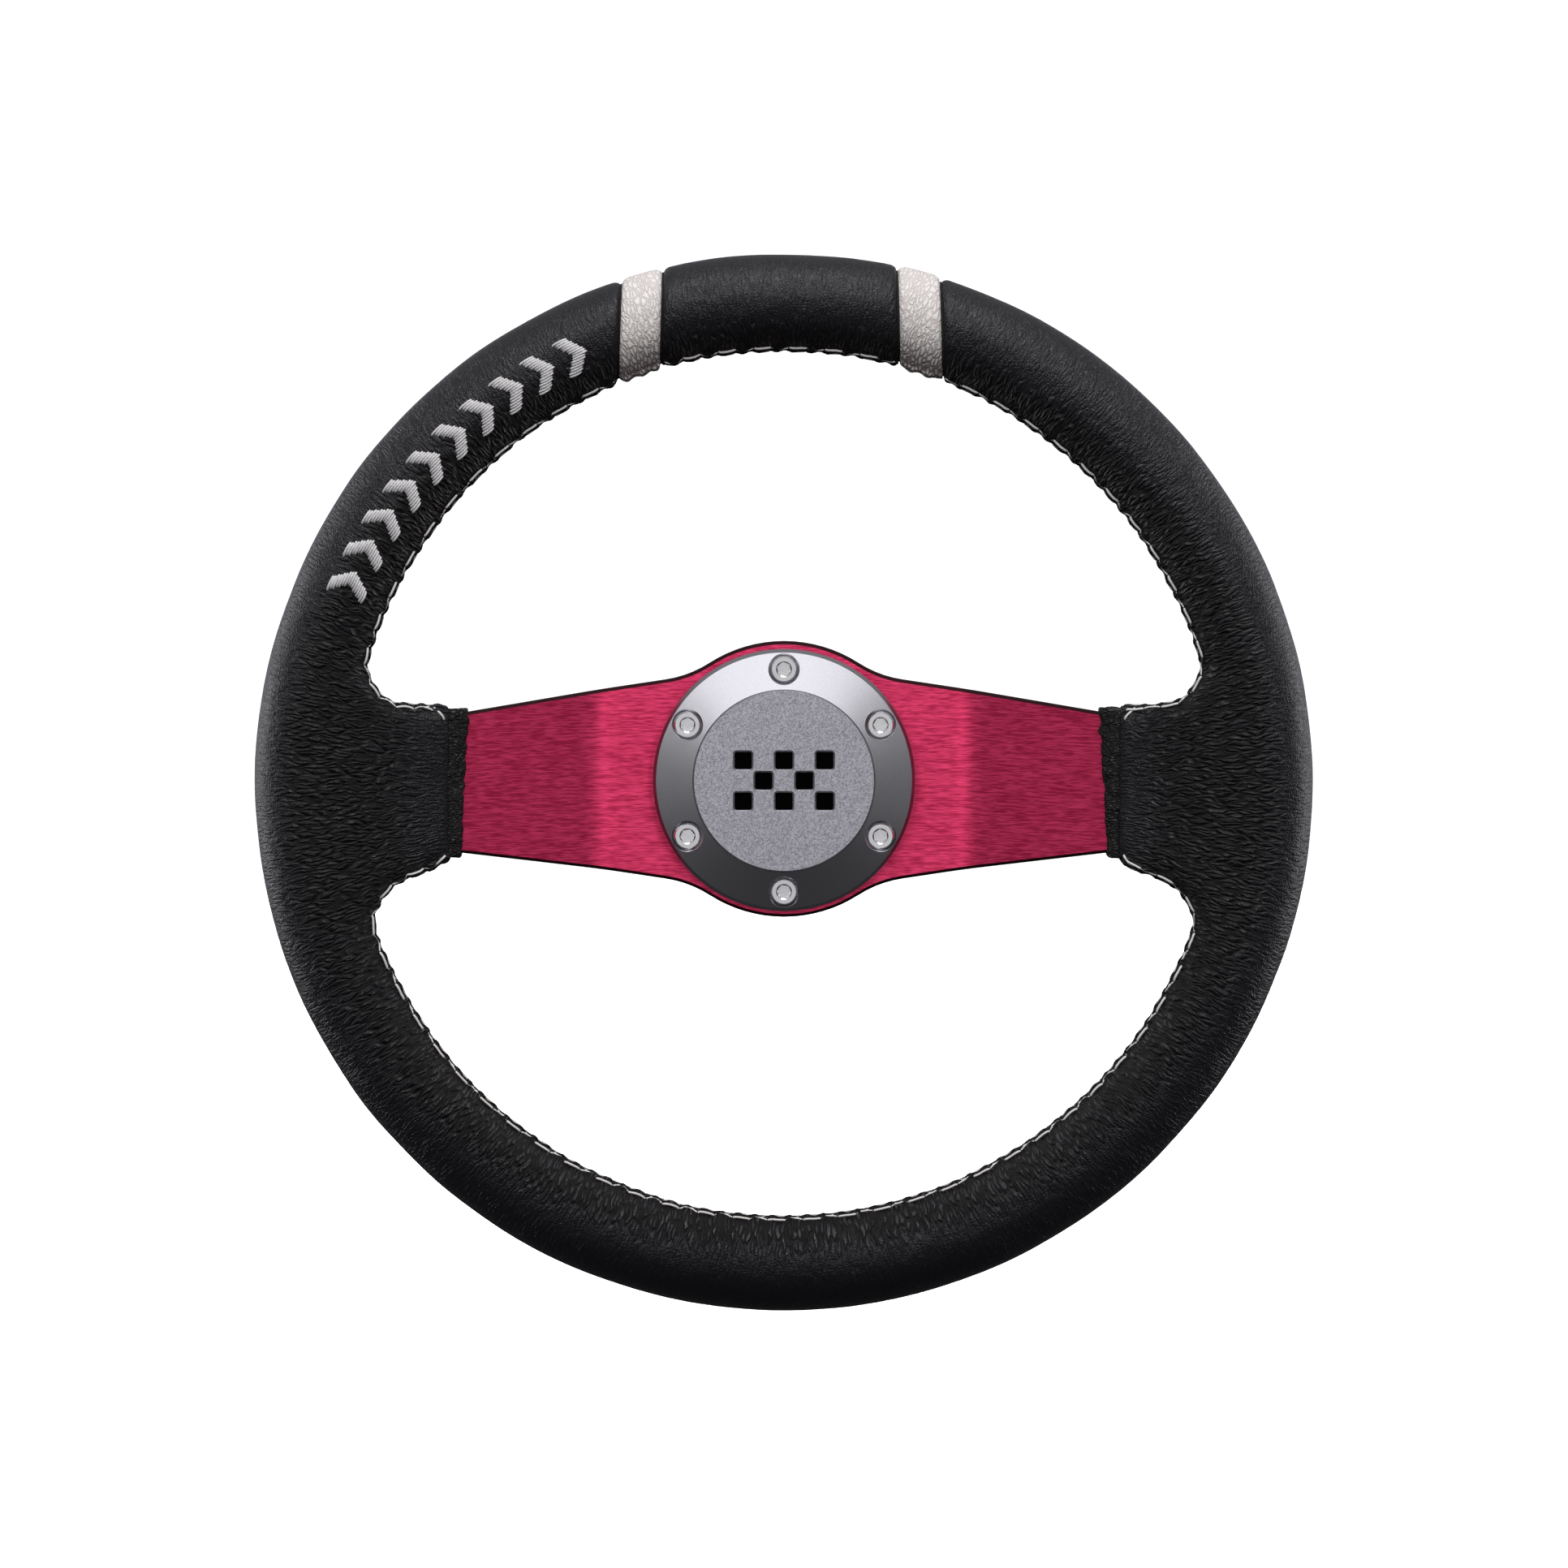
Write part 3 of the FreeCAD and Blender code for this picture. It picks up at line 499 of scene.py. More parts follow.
# Over the top or not, the angle at which the circle begins, and the last root section it leaves.
ROUTES = ((True, 16.5, 5), (False, -20.5, 4))


def surface_of(piece):
    return BVHTree.FromObject(piece, bpy.context.evaluated_depsgraph_get())


def seam_route(upper, first_angle, last_section):
    """Points along one seam, from the right binding, round the rim, to the left binding."""
    right = []
    for x, low, high, _ in ROOT_SECTIONS[: last_section + 1]:
        edge = (high if upper else low) * MM
        right.append(Vector((x * MM, root_middle(x * MM), edge)))
    sweep = math.pi - 2 * first_angle if upper else -(math.pi + 2 * first_angle)
    arc = []
    for step in range(ARC_STEPS + 1):
        angle = first_angle + sweep * step / ARC_STEPS
        arc.append(
            Vector((RIM_INSIDE * math.cos(angle), RIM_PLANE, RIM_INSIDE * math.sin(angle)))
        )
    left = [Vector((-point.x, point.y, point.z)) for point in reversed(right)]
    return [point - Vector((0, SEAM_FORWARD, 0)) for point in right + arc + left]


def evenly(route, step):
    """The route's points again, one every step of its length."""
    found, target, travelled = [], 0.0, 0.0
    for start, end in zip(route, route[1:]):
        length = (end - start).length
        while travelled + length >= target:
            found.append(start.lerp(end, (target - travelled) / length))
            target += step
        travelled += length
    return found


skin = surface_of(grip)
seams = []
for upper, degrees, last_section in ROUTES:
    route = evenly(seam_route(upper, math.radians(degrees), last_section), ROUTE_STEP)
    seams.append([skin.find_nearest(point)[0] for point in route])
    print("seam:", len(route), "points,", round(len(route) * ROUTE_STEP, 3), "m")

# %% [markdown]
# A hand-sewn seam pulls the hide: its two edges stand up as rolled lips with a slit between them,
# pinched at every stitch, and the hide behind gathers into short puckers. Each vertex near a seam
# is moved along its normal by a height that depends on how far it is from the seam and how far
# along it lies. The faces there are divided first, so that the lips have enough points.

# %% Lips and puckers
SEAM_REACH = 16 * MM
LIP_OFFSET = 1.0 * MM
LIP_WIDTH = 0.75 * MM
LIP_HEIGHT = 0.95 * MM
LIP_PINCH = 0.55
SLIT_WIDTH = 0.45 * MM
SLIT_DEPTH = 0.6 * MM
PUCKER_REACH = 4.5 * MM
PUCKER_HEIGHT = 0.20 * MM
UNEVEN_SIZE = 22 * MM
UNEVEN_HEIGHT = 0.30 * MM
FINER_WITHIN = (4.2 * MM, 2.6 * MM)

seam_points = kdtree.KDTree(sum(len(seam) for seam in seams))
seam_place = []
for seam in seams:
    for number, point in enumerate(seam):
        seam_points.insert(point, len(seam_place))
        seam_place.append(number * ROUTE_STEP)
seam_points.balance()


def near_seam(point, reach):
    return seam_points.find(point)[2] < reach


for reach in FINER_WITHIN:
    with editing(grip, "FACE"):
        select_faces(grip, lambda centre: near_seam(centre, reach))
        bpy.ops.mesh.subdivide(number_cuts=1)


def bump_of(offset, width):
    return math.exp(-((offset / width) ** 2))


def seam_height(point):
    """How far the sewn hide stands off the plain skin at a point near a seam."""
    _, index, distance = seam_points.find(point)
    if distance > SEAM_REACH:
        return 0.0
    along = seam_place[index] / STITCH_PITCH
    pinch = 0.5 + 0.5 * math.cos(2 * math.pi * along)
    lips = bump_of(abs(distance) - LIP_OFFSET, LIP_WIDTH) * (1.0 - LIP_PINCH * pinch)
    slit = bump_of(distance, SLIT_WIDTH)
    wave = noise.noise(Vector((along * 1.9, distance / (9 * MM), 0.0)))
    gather = math.exp(-distance / PUCKER_REACH) * (0.5 - pinch + 0.9 * wave)
    return lips * LIP_HEIGHT - slit * SLIT_DEPTH + gather * PUCKER_HEIGHT


heights = []
for vertex in grip.data.vertices:
    swell = noise.noise(vertex.co / UNEVEN_SIZE) * UNEVEN_HEIGHT
    heights.append(seam_height(vertex.co) + swell)
normals = [vertex.normal.copy() for vertex in grip.data.vertices]
for vertex, height, normal in zip(grip.data.vertices, heights, normals):
    vertex.co += normal * height
print("sewn skin:", len(grip.data.polygons), "faces")

# %% [markdown]
# ## Panels
# Two white stripes mark the top of the rim. Each panel is its own piece of hide with its ends
# turned in, so there is a fine groove at every join. The skin is copied for each panel, cut by
# flat planes with bisect, and closed; then the last two millimetres are rolled inwards.

# %% Cutting the panels
GROOVE = 0.5 * MM
ROLL_WIDTH = 2.4 * MM
ROLL_DEPTH = 1.5 * MM
ROLL_ROWS = (0.0, 0.35 * MM, 0.9 * MM, 1.6 * MM)
TOP_ABOVE = 80 * MM
STRIPE_BULGE = 0.3 * MM


def cut_rows(piece, x, into):
    """Adds rows of edges in planes of constant x, closer together towards the panel's end."""
    for row in ROLL_ROWS:
        with editing(piece, "FACE"):
            select_faces(piece, lambda centre: centre.z > TOP_ABOVE)
            bpy.ops.mesh.bisect(plane_co=(x + into * row, 0, 0), plane_no=(1, 0, 0))


def panel(name, ends, keep, bulge=0.0):
    """A copy of the skin cut at its ends, each an x and the direction into the panel."""
    piece = copy_of(grip, name)
    for x, into in ends:
        cut_rows(piece, x, into)
    with editing(piece, "FACE"):
        select_faces(piece, lambda centre: not keep(centre))
        bpy.ops.mesh.delete(type="FACE")
        bpy.ops.mesh.select_all(action="SELECT")
        bpy.ops.mesh.fill_holes(sides=0)
        bpy.ops.mesh.select_all(action="SELECT")
        bpy.ops.mesh.normals_make_consistent(inside=False)
    for vertex in piece.data.vertices:
        roll_in(vertex, ends, bulge)
    shade_smooth(piece, 50)
    print(name + ":", len(piece.data.polygons), "faces")
    return piece


def roll_in(vertex, ends, bulge):
    """Moves a vertex towards the middle of the grip's section, the more the nearer an end."""
    if vertex.co.z < TOP_ABOVE:
        return
    out = Vector((vertex.co.x, 0, vertex.co.z)).normalized() * RIM_RADIUS
    middle = Vector((out.x, RIM_PLANE, out.z))
    distance = min(abs(vertex.co.x - x) for x, _ in ends)
    share = min(max(distance / ROLL_WIDTH, 0.0), 1.0)
    drop = ROLL_DEPTH * (1 - math.sqrt(1 - (1 - share) ** 2)) - bulge * share
    vertex.co -= (vertex.co - middle).normalized() * drop


def stripe_edges(node):
    low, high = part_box(node)
    return low.x, high.x


LEFT_LOW, LEFT_HIGH = stripe_edges("stripe_left")
RIGHT_LOW, RIGHT_HIGH = stripe_edges("stripe_right")
for low, high in ((LEFT_LOW, LEFT_HIGH), (RIGHT_LOW, RIGHT_HIGH)):
    print("stripe:", round((high - low) / MM, 1), "mm wide")

# %% The four panels
grip_wrap = panel(
    "grip_wrap",
    [(LEFT_LOW - GROOVE, -1), (RIGHT_HIGH + GROOVE, 1)],
    lambda c: c.z < TOP_ABOVE or c.x < LEFT_LOW - GROOVE or c.x > RIGHT_HIGH + GROOVE,
)
top_wrap = panel(
    "top_wrap",
    [(LEFT_HIGH + GROOVE, 1), (RIGHT_LOW - GROOVE, -1)],
    lambda c: c.z > TOP_ABOVE and LEFT_HIGH + GROOVE < c.x < RIGHT_LOW - GROOVE,
)
stripe_left_wrap = panel(
    "stripe_left_wrap",
    [(LEFT_LOW, 1), (LEFT_HIGH, -1)],
    lambda c: c.z > TOP_ABOVE and LEFT_LOW < c.x < LEFT_HIGH,
    STRIPE_BULGE,
)
stripe_right_wrap = panel(
    "stripe_right_wrap",
    [(RIGHT_LOW, 1), (RIGHT_HIGH, -1)],
    lambda c: c.z > TOP_ABOVE and RIGHT_LOW < c.x < RIGHT_HIGH,
    STRIPE_BULGE,
)
for piece, node, finish, slot in (
    (grip_wrap, "grip_leather", BLACK_HIDE, "black_leather"),
    (top_wrap, "top_leather", BLACK_HIDE, "black_leather"),
    (stripe_left_wrap, "stripe_left", WHITE_HIDE, "white_leather"),
    (stripe_right_wrap, "stripe_right", WHITE_HIDE, "white_leather"),
):
    piece.data.materials.clear()
    piece.data.materials.append(finish)
    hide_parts(node)
    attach(piece, "wheel")

# %% [markdown]
# A narrow strip of hide is folded round the spoke where the leather ends, and hides its raw edge.
# It fits the plate exactly, so it starts from a copy of the frame's sleeve: the copy is merged,
# remeshed finely enough to round its corners, and roughened as folded leather is.

# %% Bindings on the spokes
CUFF_GRID = 0.5 * MM
CUFF_TURN = 2.0 * MM
CUFF_TUCK = 1.6 * MM
LUMP_SIZE, LUMP_SHARE = 3.0 * MM, 0.7
WRINKLE_SIZE, WRINKLE_SHARE = 1.3 * MM, 0.4
CUFF_SWELL = 0.3


def binding(node, name):
    piece = copy_of(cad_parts[node], name)
    piece.parent = None
    with editing(piece):
        bpy.ops.mesh.remove_doubles(threshold=0.01 * MM)
    apply_modifier(piece, "REMESH", mode="VOXEL", voxel_size=CUFF_GRID, use_smooth_shade=True)
    apply_modifier(piece, "SMOOTH", factor=0.5, iterations=5)
    low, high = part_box(node)
    outer = max(abs(low.x), abs(high.x))
    normals = [vertex.normal.copy() for vertex in piece.data.vertices]
    for vertex, normal in zip(piece.data.vertices, normals):
        lumps = noise.noise(vertex.co / LUMP_SIZE) * LUMP_SHARE
        lumps += noise.noise(vertex.co / WRINKLE_SIZE) * WRINKLE_SHARE
        vertex.co += normal * (lumps + CUFF_SWELL) * MM
        if outer - abs(vertex.co.x) < CUFF_TURN:
            tuck = CUFF_TUCK * (1 + noise.noise(vertex.co / (5 * MM)))
            vertex.co.x += math.copysign(tuck, vertex.co.x)
    piece.data.materials.clear()
    piece.data.materials.append(CUFF_HIDE)
    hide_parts(node)
    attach(piece, "wheel")
    print(name + ":", len(piece.data.polygons), "faces")


binding("cuff_left", "cuff_left_wrap")
binding("cuff_right", "cuff_right_wrap")

# %% [markdown]
# ## Thread
# The seam is closed with a thick waxed thread in a baseball stitch: a straight dash along the
# driver's side, then a cross over the seam to the other side. Every stitch is a short smooth
# curve with a round bevel, laid just above the hide, with its ends dipping into their holes. A
# particle system could repeat one stitch, but these have to follow the hide's own lips.

# %% Thread finishes
DASH_RADIUS = 0.38 * MM
CROSS_RADIUS = 0.27 * MM
HOLE_OFFSET = 1.9 * MM


def thread_finish(name, colour, shade, fibre):
    finish, tree, point = new_finish(name)
    fuzz = add_node(tree, "ShaderNodeTexNoise", {"Vector": point, "Scale": 1 / fibre})
    tone = add_node(tree, "ShaderNodeMapRange", {"Value": fuzz, "From Min": 0.35, "From Max": 0.6})
    dyed = add_node(
        tree,
        "ShaderNodeMix",
        {"Factor": tone, "A": linear(shade), "B": linear(colour)},
        data_type="RGBA",
    )
    bump = add_node(tree, "ShaderNodeBump", {"Height": fuzz, "Strength": 0.5, "Distance": fibre})
    surface(tree, Base_Color=dyed, Normal=bump, Roughness=0.55, IOR=1.53, Sheen_Weight=0.25)
    return finish


# The thread's filaments are far finer than this fibre: it is drawn as coarse as it has to be seen.
# Waxed polyester is bonded and waxed: bright, nearly white, with a soft shine and no loose fuzz.
SEAM_THREAD = thread_finish("waxed_polyester_thread", "#f8f6f3", "#d2cdc8", 0.25 * MM)
# Rayon is spun smooth, so a satin-stitched patch looks silky and a little greyer than the seam.
SATIN_THREAD = thread_finish("rayon_embroidery_thread", "#efedee", "#c3bfc0", 0.35 * MM)
print("threads:", SEAM_THREAD.name, SATIN_THREAD.name)

# %% The strand helper


def strands(name, lines, radius, finish):
    """One mesh of many short threads, each a smooth curve through its line of points."""
    curve = bpy.data.curves.new(name, "CURVE")
    curve.dimensions = "3D"
    curve.bevel_depth = radius
    curve.bevel_resolution = 1
    curve.use_fill_caps = True
    for line in lines:
        spline = curve.splines.new("NURBS")
        spline.points.add(len(line) - 1)
        for knot, point in zip(spline.points, line):
            knot.co = (*point, 1.0)
        spline.order_u = 3
        spline.use_endpoint_u = True
        spline.resolution_u = 2
    piece = bpy.data.objects.new(name, curve)
    bpy.context.collection.objects.link(piece)
    select_only(piece)
    bpy.ops.object.convert(target="MESH")
    piece = bpy.context.object
    shade_smooth(piece, 70)
    piece.data.materials.append(finish)
    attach(piece, "wheel")
    print(name + ":", len(lines), "strands,", len(piece.data.polygons), "faces")


# %% The seam's stitches
# How far along a stitch each knot lies, and how many millimetres it is lifted off the hide.
STITCH_SHAPE = ((0.0, -0.5), (0.06, 0.1), (0.35, 0.24), (0.65, 0.24), (0.94, 0.1), (1.0, -0.5))
FIRST_HOLE = 4
TAIL_HOLE = 10
TAIL_REACH = 4.0 * MM
TAIL_FORWARD = 2.0 * MM
TAIL_DROP = 3.4 * MM

sewn_skin = surface_of(grip)


def on_hide(point, lift):
    """The point of the hide nearest to this one, lifted off it."""
    spot, normal, _, _ = sewn_skin.find_nearest(point)
    return spot + normal * lift


def stitch(start, end):
    """A strand between two holes: down at both ends, lying on the hide between them."""
    return [on_hide(start.lerp(end, share), lift * MM) for share, lift in STITCH_SHAPE]


def on_stripe(point):
    """Whether a point lies on a white stripe, which covers the seam."""
    stripes = ((LEFT_LOW, LEFT_HIGH), (RIGHT_LOW, RIGHT_HIGH))
    return point.z > 0 and any(low < point.x < high for low, high in stripes)


def seam_stitches(seam):
    """The dashes of one seam and the crosses between them."""
    per_pitch = round(STITCH_PITCH / ROUTE_STEP)
    holes = seam[FIRST_HOLE::per_pitch]
    side = Vector((0, HOLE_OFFSET, 0))
    dashes, crosses = [], []
    for number, (here, there) in enumerate(zip(holes, holes[1:])):
        if on_stripe(here.lerp(there, 0.5)):
            continue
        if number % 2:
            crosses.append(stitch(here - side, there + side))
            crosses.append(stitch(here + side, there - side))
        else:
            dashes.append(stitch(here - side, there - side))
            dashes.append(stitch(here + side, there + side))
    return dashes, crosses


def tails(seam):
    """The last stitch at each end of a seam, slanting across the front towards the binding."""
    found = []
    for hole in (seam[TAIL_HOLE], seam[-TAIL_HOLE]):
        reach = math.copysign(TAIL_REACH, -hole.x)
        drop = math.copysign(TAIL_DROP, -hole.z)
        found.append(stitch(hole, hole + Vector((reach, -TAIL_FORWARD, drop))))
    return found


for name, seam in (("upper", seams[0]), ("lower", seams[1])):
    dashes, crosses = seam_stitches(seam)
    strands(f"seam_thread_{name}_dashes", dashes + tails(seam), DASH_RADIUS, SEAM_THREAD)
    strands(f"seam_thread_{name}_crosses", crosses, CROSS_RADIUS, SEAM_THREAD)

# %% [markdown]
# The left of the rim carries an embroidered row of chevrons. Machine embroidery fills a shape
# with satin stitch: parallel threads laid across each stroke, side by side, drawn down at both
# edges. Each arm of a chevron is filled like that, thread by thread, on the hide's own surface.

# %% Embroidered chevrons
CHEVRONS = 10
CHEVRON_FIRST = 116.0
CHEVRON_LAST = 155.0
CHEVRON_HALF = 5.5 * MM
CHEVRON_LEAN = 4.2 * MM
STROKE = 3.9 * MM
SATIN_PITCH = 0.74 * MM
SATIN_RADIUS = 0.4 * MM
RAGGED = 0.55 * MM
CHEVRON_RADIUS = RIM_RADIUS - 1.5 * MM
IN_FRONT = 30 * MM
# As for a stitch of the seam: the share of the thread's length, and the lift in millimetres.
SATIN_SHAPE = ((-0.5, -0.25), (-0.42, 0.25), (0.0, 0.62), (0.42, 0.25), (0.5, -0.25))


def rim_front(along, across, angle):
    """A point in front of the rim: along it and across it from the point at that angle."""
    turn = angle - along / CHEVRON_RADIUS
    radius = CHEVRON_RADIUS + across
    return Vector((radius * math.cos(turn), RIM_PLANE - IN_FRONT, radius * math.sin(turn)))


def on_front(point, lift):
    spot, normal, _, _ = sewn_skin.ray_cast(point, Vector((0, 1, 0)))
    return spot + normal * lift


def satin_strand(along, across, angle, length):
    """One thread across a stroke, pulled down into the hide at both ends."""
    return [
        on_front(rim_front(along + share * length, across, angle), lift * MM)
        for share, lift in SATIN_SHAPE
    ]


chevron_lines = []
rows = round(2 * CHEVRON_HALF / SATIN_PITCH)
for number in range(CHEVRONS):
    share = number / (CHEVRONS - 1)
    angle = math.radians(CHEVRON_LAST + (CHEVRON_FIRST - CHEVRON_LAST) * share)
    for row in range(rows + 1):
        across = -CHEVRON_HALF + row * SATIN_PITCH
        along = CHEVRON_LEAN * (0.5 - abs(across) / CHEVRON_HALF)
        length = STROKE + RAGGED * (row % 2)
        chevron_lines.append(satin_strand(along, across, angle, length))
strands("embroidered_chevrons", chevron_lines, SATIN_RADIUS, SATIN_THREAD)

# %% [markdown]
# ## Metal
# The spokes, the ring and the hub are aluminium, and each is finished differently: the plate is
# brushed lengthwise and dyed crimson in the anodising bath, the ring is turned and blasted, the
# cap is blasted more coarsely, and the hub behind is anodised black. Brushing and blasting are too
# fine to model, so they are bump and roughness. Brush marks are less than a tenth of a millimetre
# apart and bead marks hardly more: they are drawn three to six times as coarse, to be seen at all.

# %% Brushed and dyed aluminium
# Brushing gives long fine streaks of light; the clear dyed layer over it makes the metal glow
# crimson. The faces turned up or down, the plate's cut edges, are painted much darker: a painted
# shade.
EDGE_SHADE_FROM, EDGE_SHADE_TO = 0.3, 0.6


def streaks(tree, point, along, across):
    """Noise in cells of those sizes along X and Y, and across them in Z."""
    cells = add_node(
        tree, "ShaderNodeMapping", {"Vector": point, "Scale": (1 / along, 1 / along, 1 / across)}
    )
    return add_node(tree, "ShaderNodeTexNoise", {"Vector": cells, "Scale": 1.0, "Detail": 2.0})


def brushed_anodised():
    """Aluminium brushed along the spokes, then anodised and dyed; its cut edges carry a painted
    shade.
    """
    finish, tree, point = new_finish("brushed_crimson_anodised_aluminium")
    fine = streaks(tree, point, 4 * MM, 0.3 * MM)
    broad = streaks(tree, point, 8 * MM, 0.6 * MM)
    both = add_node(tree, "ShaderNodeMath", {0: fine, 1: broad}, operation="ADD")
    tone = add_node(tree, "ShaderNodeMapRange", {"Value": both, "From Min": 0.8, "From Max": 1.2})
    dyed = add_node(
        tree,
        "ShaderNodeMix",
        {"Factor": tone, "A": linear("#a41943"), "B": linear("#d63965")},
        data_type="RGBA",
    )
    normal = add_node(tree, "ShaderNodeNewGeometry").outputs["Normal"]
    turned_away = add_node(tree, "ShaderNodeSeparateXYZ", {0: normal}).outputs["Z"]
    sideways = add_node(tree, "ShaderNodeMath", {0: turned_away}, operation="ABSOLUTE")
    edge = add_node(
        tree, "ShaderNodeMapRange", {"Value": sideways, "From Min": EDGE_SHADE_FROM, "From Max": EDGE_SHADE_TO}
    )
    # Painted shade: faces turned up or down, the plate's cut edges, are mixed towards a near-black
    # red.
    colour = add_node(
        tree,
        "ShaderNodeMix",
        {"Factor": edge, "A": dyed, "B": linear("#2a060f")},
        data_type="RGBA",
    )
    dull = add_node(tree, "ShaderNodeMapRange", {"Value": fine, "To Min": 0.3, "To Max": 0.5})
    bump = add_node(
        tree, "ShaderNodeBump", {"Height": fine, "Strength": 0.6, "Distance": 0.06 * MM}
    )
    surface(tree, Base_Color=colour, Roughness=dull, Normal=bump, Metallic=0.75)
    return finish


FINISHES = {"spoke_plate": brushed_anodised()}
print("spoke plate:", FINISHES["spoke_plate"].name)

# %% Blasted aluminium


def blasted(name, colour, dark, roughness, grit, depth, metallic=1.0):
    """Aluminium blasted with glass beads of that size: an even, fine-pitted satin."""
    finish, tree, point = new_finish(name)
    pits = add_node(tree, "ShaderNodeTexNoise", {"Vector": point, "Scale": 1 / grit, "Detail": 3.0})
    tone = add_node(tree, "ShaderNodeMapRange", {"Value": pits, "From Min": 0.35, "From Max": 0.65})
    worn = add_node(
        tree,
        "ShaderNodeMix",
        {"Factor": tone, "A": linear(dark), "B": linear(colour)},
        data_type="RGBA",
    )
    bump = add_node(tree, "ShaderNodeBump", {"Height": pits, "Strength": 0.6, "Distance": depth})
    surface(tree, Base_Color=worn, Normal=bump, Roughness=roughness, Metallic=metallic)
    return finish


# Fine beads under a clear anodised layer: a satin grey that still shows a soft bright reflection.
FINISHES["hub_ring"] = blasted(
    "satin_grey_anodised_aluminium", "#9c9ba0", "#929196", 0.3, 0.25 * MM, 0.008 * MM
)
# Coarser beads and no layer: a flat, sparkling grey that hardly reflects anything.
FINISHES["centre_cap"] = blasted(
    "bead_blasted_aluminium", "#b3b2ba", "#807f87", 0.46, 0.4 * MM, 0.05 * MM, 0.85
)
print("blasted:", FINISHES["hub_ring"].name, FINISHES["centre_cap"].name)

# %% [markdown]
# What is turned on a lathe carries a fine spiral from its tool. A wave texture in rings round the
# steering axis stands for it, about six times as wide as the tool's feed, or it would not be
# seen. Slow smears in the roughness keep the surface from looking like plastic. What comes from a
# mould has only a faint, even grain.

# %% Turned metal
SMEAR_SCALE = 160.0
# The wave texture turns through this many radians in one unit of its coordinates.
WAVE_TURN = 20


def turned(name, colour, roughness, feed, depth, metallic=1.0):
    """Metal faced on a lathe: fine rings round the steering axis, and smears between them."""
    finish, tree, point = new_finish(name)
    rings = add_node(
        tree,
        "ShaderNodeTexWave",
        {"Vector": point, "Scale": 1 / (feed * WAVE_TURN), "Distortion": 0.4, "Detail": 1.0},
        wave_type="RINGS",
        rings_direction="Y",
    )
    smears = add_node(tree, "ShaderNodeTexNoise", {"Vector": point, "Scale": SMEAR_SCALE})
    dull = add_node(
        tree,
        "ShaderNodeMapRange",
        {
            "Value": smears,
            "From Min": 0.3,
            "From Max": 0.7,
            "To Min": roughness * 0.8,
            "To Max": roughness * 1.25,
        },
    )
    bump = add_node(
        tree,
        "ShaderNodeBump",
        {"Height": rings.outputs["Fac"], "Strength": 0.3, "Distance": depth},
    )
    surface(tree, Base_Color=linear(colour), Roughness=dull, Normal=bump, Metallic=metallic)
    return finish


print("a turned finish has smears about", round(1000 / SMEAR_SCALE), "mm wide")

# %% Moulded rubber, foam and acrylic


def moulded(name, colour, roughness, grain, **more):
    """Rubber, foam or acrylic from a mould: an even colour with a faint grain."""
    finish, tree, point = new_finish(name)
    speck = add_node(tree, "ShaderNodeTexNoise", {"Vector": point, "Scale": 1 / grain})
    dull = add_node(
        tree,
        "ShaderNodeMapRange",
        {"Value": speck, "To Min": roughness * 0.8, "To Max": roughness * 1.2},
    )
    bump = add_node(
        tree, "ShaderNodeBump", {"Height": speck, "Strength": 0.3, "Distance": grain * 0.1}
    )
    surface(tree, Base_Color=linear(colour), Roughness=dull, Normal=bump, **more)
    return finish


# Polished acrylic: a flat black, glossy and without texture, seen only through the pockets.
FINISHES["badge_inlay"] = moulded(
    "polished_black_acrylic", "#020203", 0.12, 2 * MM, Specular_IOR_Level=0.12
)
# Nitrile rubber is matt and nearly black, and cast polyurethane a waxy dark red.
FINISHES["socket_seal"] = moulded("nitrile_rubber", "#131314", 0.5, 0.3 * MM)
FINISHES["rattle_pad"] = moulded("cast_polyurethane", "#5d1420", 0.45, 0.5 * MM)
# Foam's open skin scatters the light, so it has no shine at all.
FINISHES["rim_foam"] = moulded("moulded_foam", "#0c0c0d", 0.9, 0.8 * MM)
print("moulded:", FINISHES["badge_inlay"].name, FINISHES["rim_foam"].name)

# %% Finishes for the turned parts
# Each entry is the finish's name, colour, roughness, feed, depth, and how metallic it looks.
TURNED = {
    # Bright zinc: near white and mirror-like, so the small heads stand out on the grey ring.
    "hub_bolts": ("bright_zinc_plated_steel", "#e8e7ea", 0.2, 0.4, 0.002, 1.0),
    "cap_screws": ("zinc_plated_screws", "#d8d8dc", 0.25, 0.15, 0.01, 1.0),
    # Hard anodising is a thick dark ceramic layer: a black sheen with little metal in it.
    "quick_release_hub": ("black_hard_anodised_aluminium", "#1d1d20", 0.34, 0.2, 0.01, 0.6),
    # The collar is turned bright before it is dyed, so it gleams more than the brushed plate.
    "release_collar": ("crimson_anodised_collar", "#a01c3e", 0.28, 0.2, 0.01, 1.0),
    # Ground steel is a cool, clean grey with narrow highlights.
    "collar_sleeve": ("ground_bearing_steel", "#c2c3c7", 0.22, 0.15, 0.008, 1.0),
    # Phosphate turns spring steel dark grey and slightly matt.
    "retaining_ring": ("phosphated_spring_steel", "#4a4b50", 0.4, 0.15, 0.01, 1.0),
    # Metal straight from the mill is plain, pale and a little dull.
    "rim_hoop": ("mill_finish_aluminium", "#c9c9cc", 0.35, 0.3, 0.01, 1.0),
    "spoke_rivets": ("rolled_aluminium_rivets", "#bdbdc1", 0.35, 0.2, 0.01, 1.0),
}
for node, (name, colour, roughness, feed, depth, metallic) in TURNED.items():
    FINISHES[node] = turned(name, colour, roughness, feed * MM, depth * MM, metallic)
# Balls are lapped to a mirror, so each one shows a sharp point of light.
BALL_STEEL = turned("polished_ball_steel", "#d6d7da", 0.08, 0.2 * MM, 0.002 * MM)
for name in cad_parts:
    if name.startswith("lock_ball"):
        FINISHES[name] = BALL_STEEL
for name, finish in FINISHES.items():
    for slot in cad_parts[name].material_slots:
        slot.material = finish
print("finished frame nodes:", len(FINISHES))
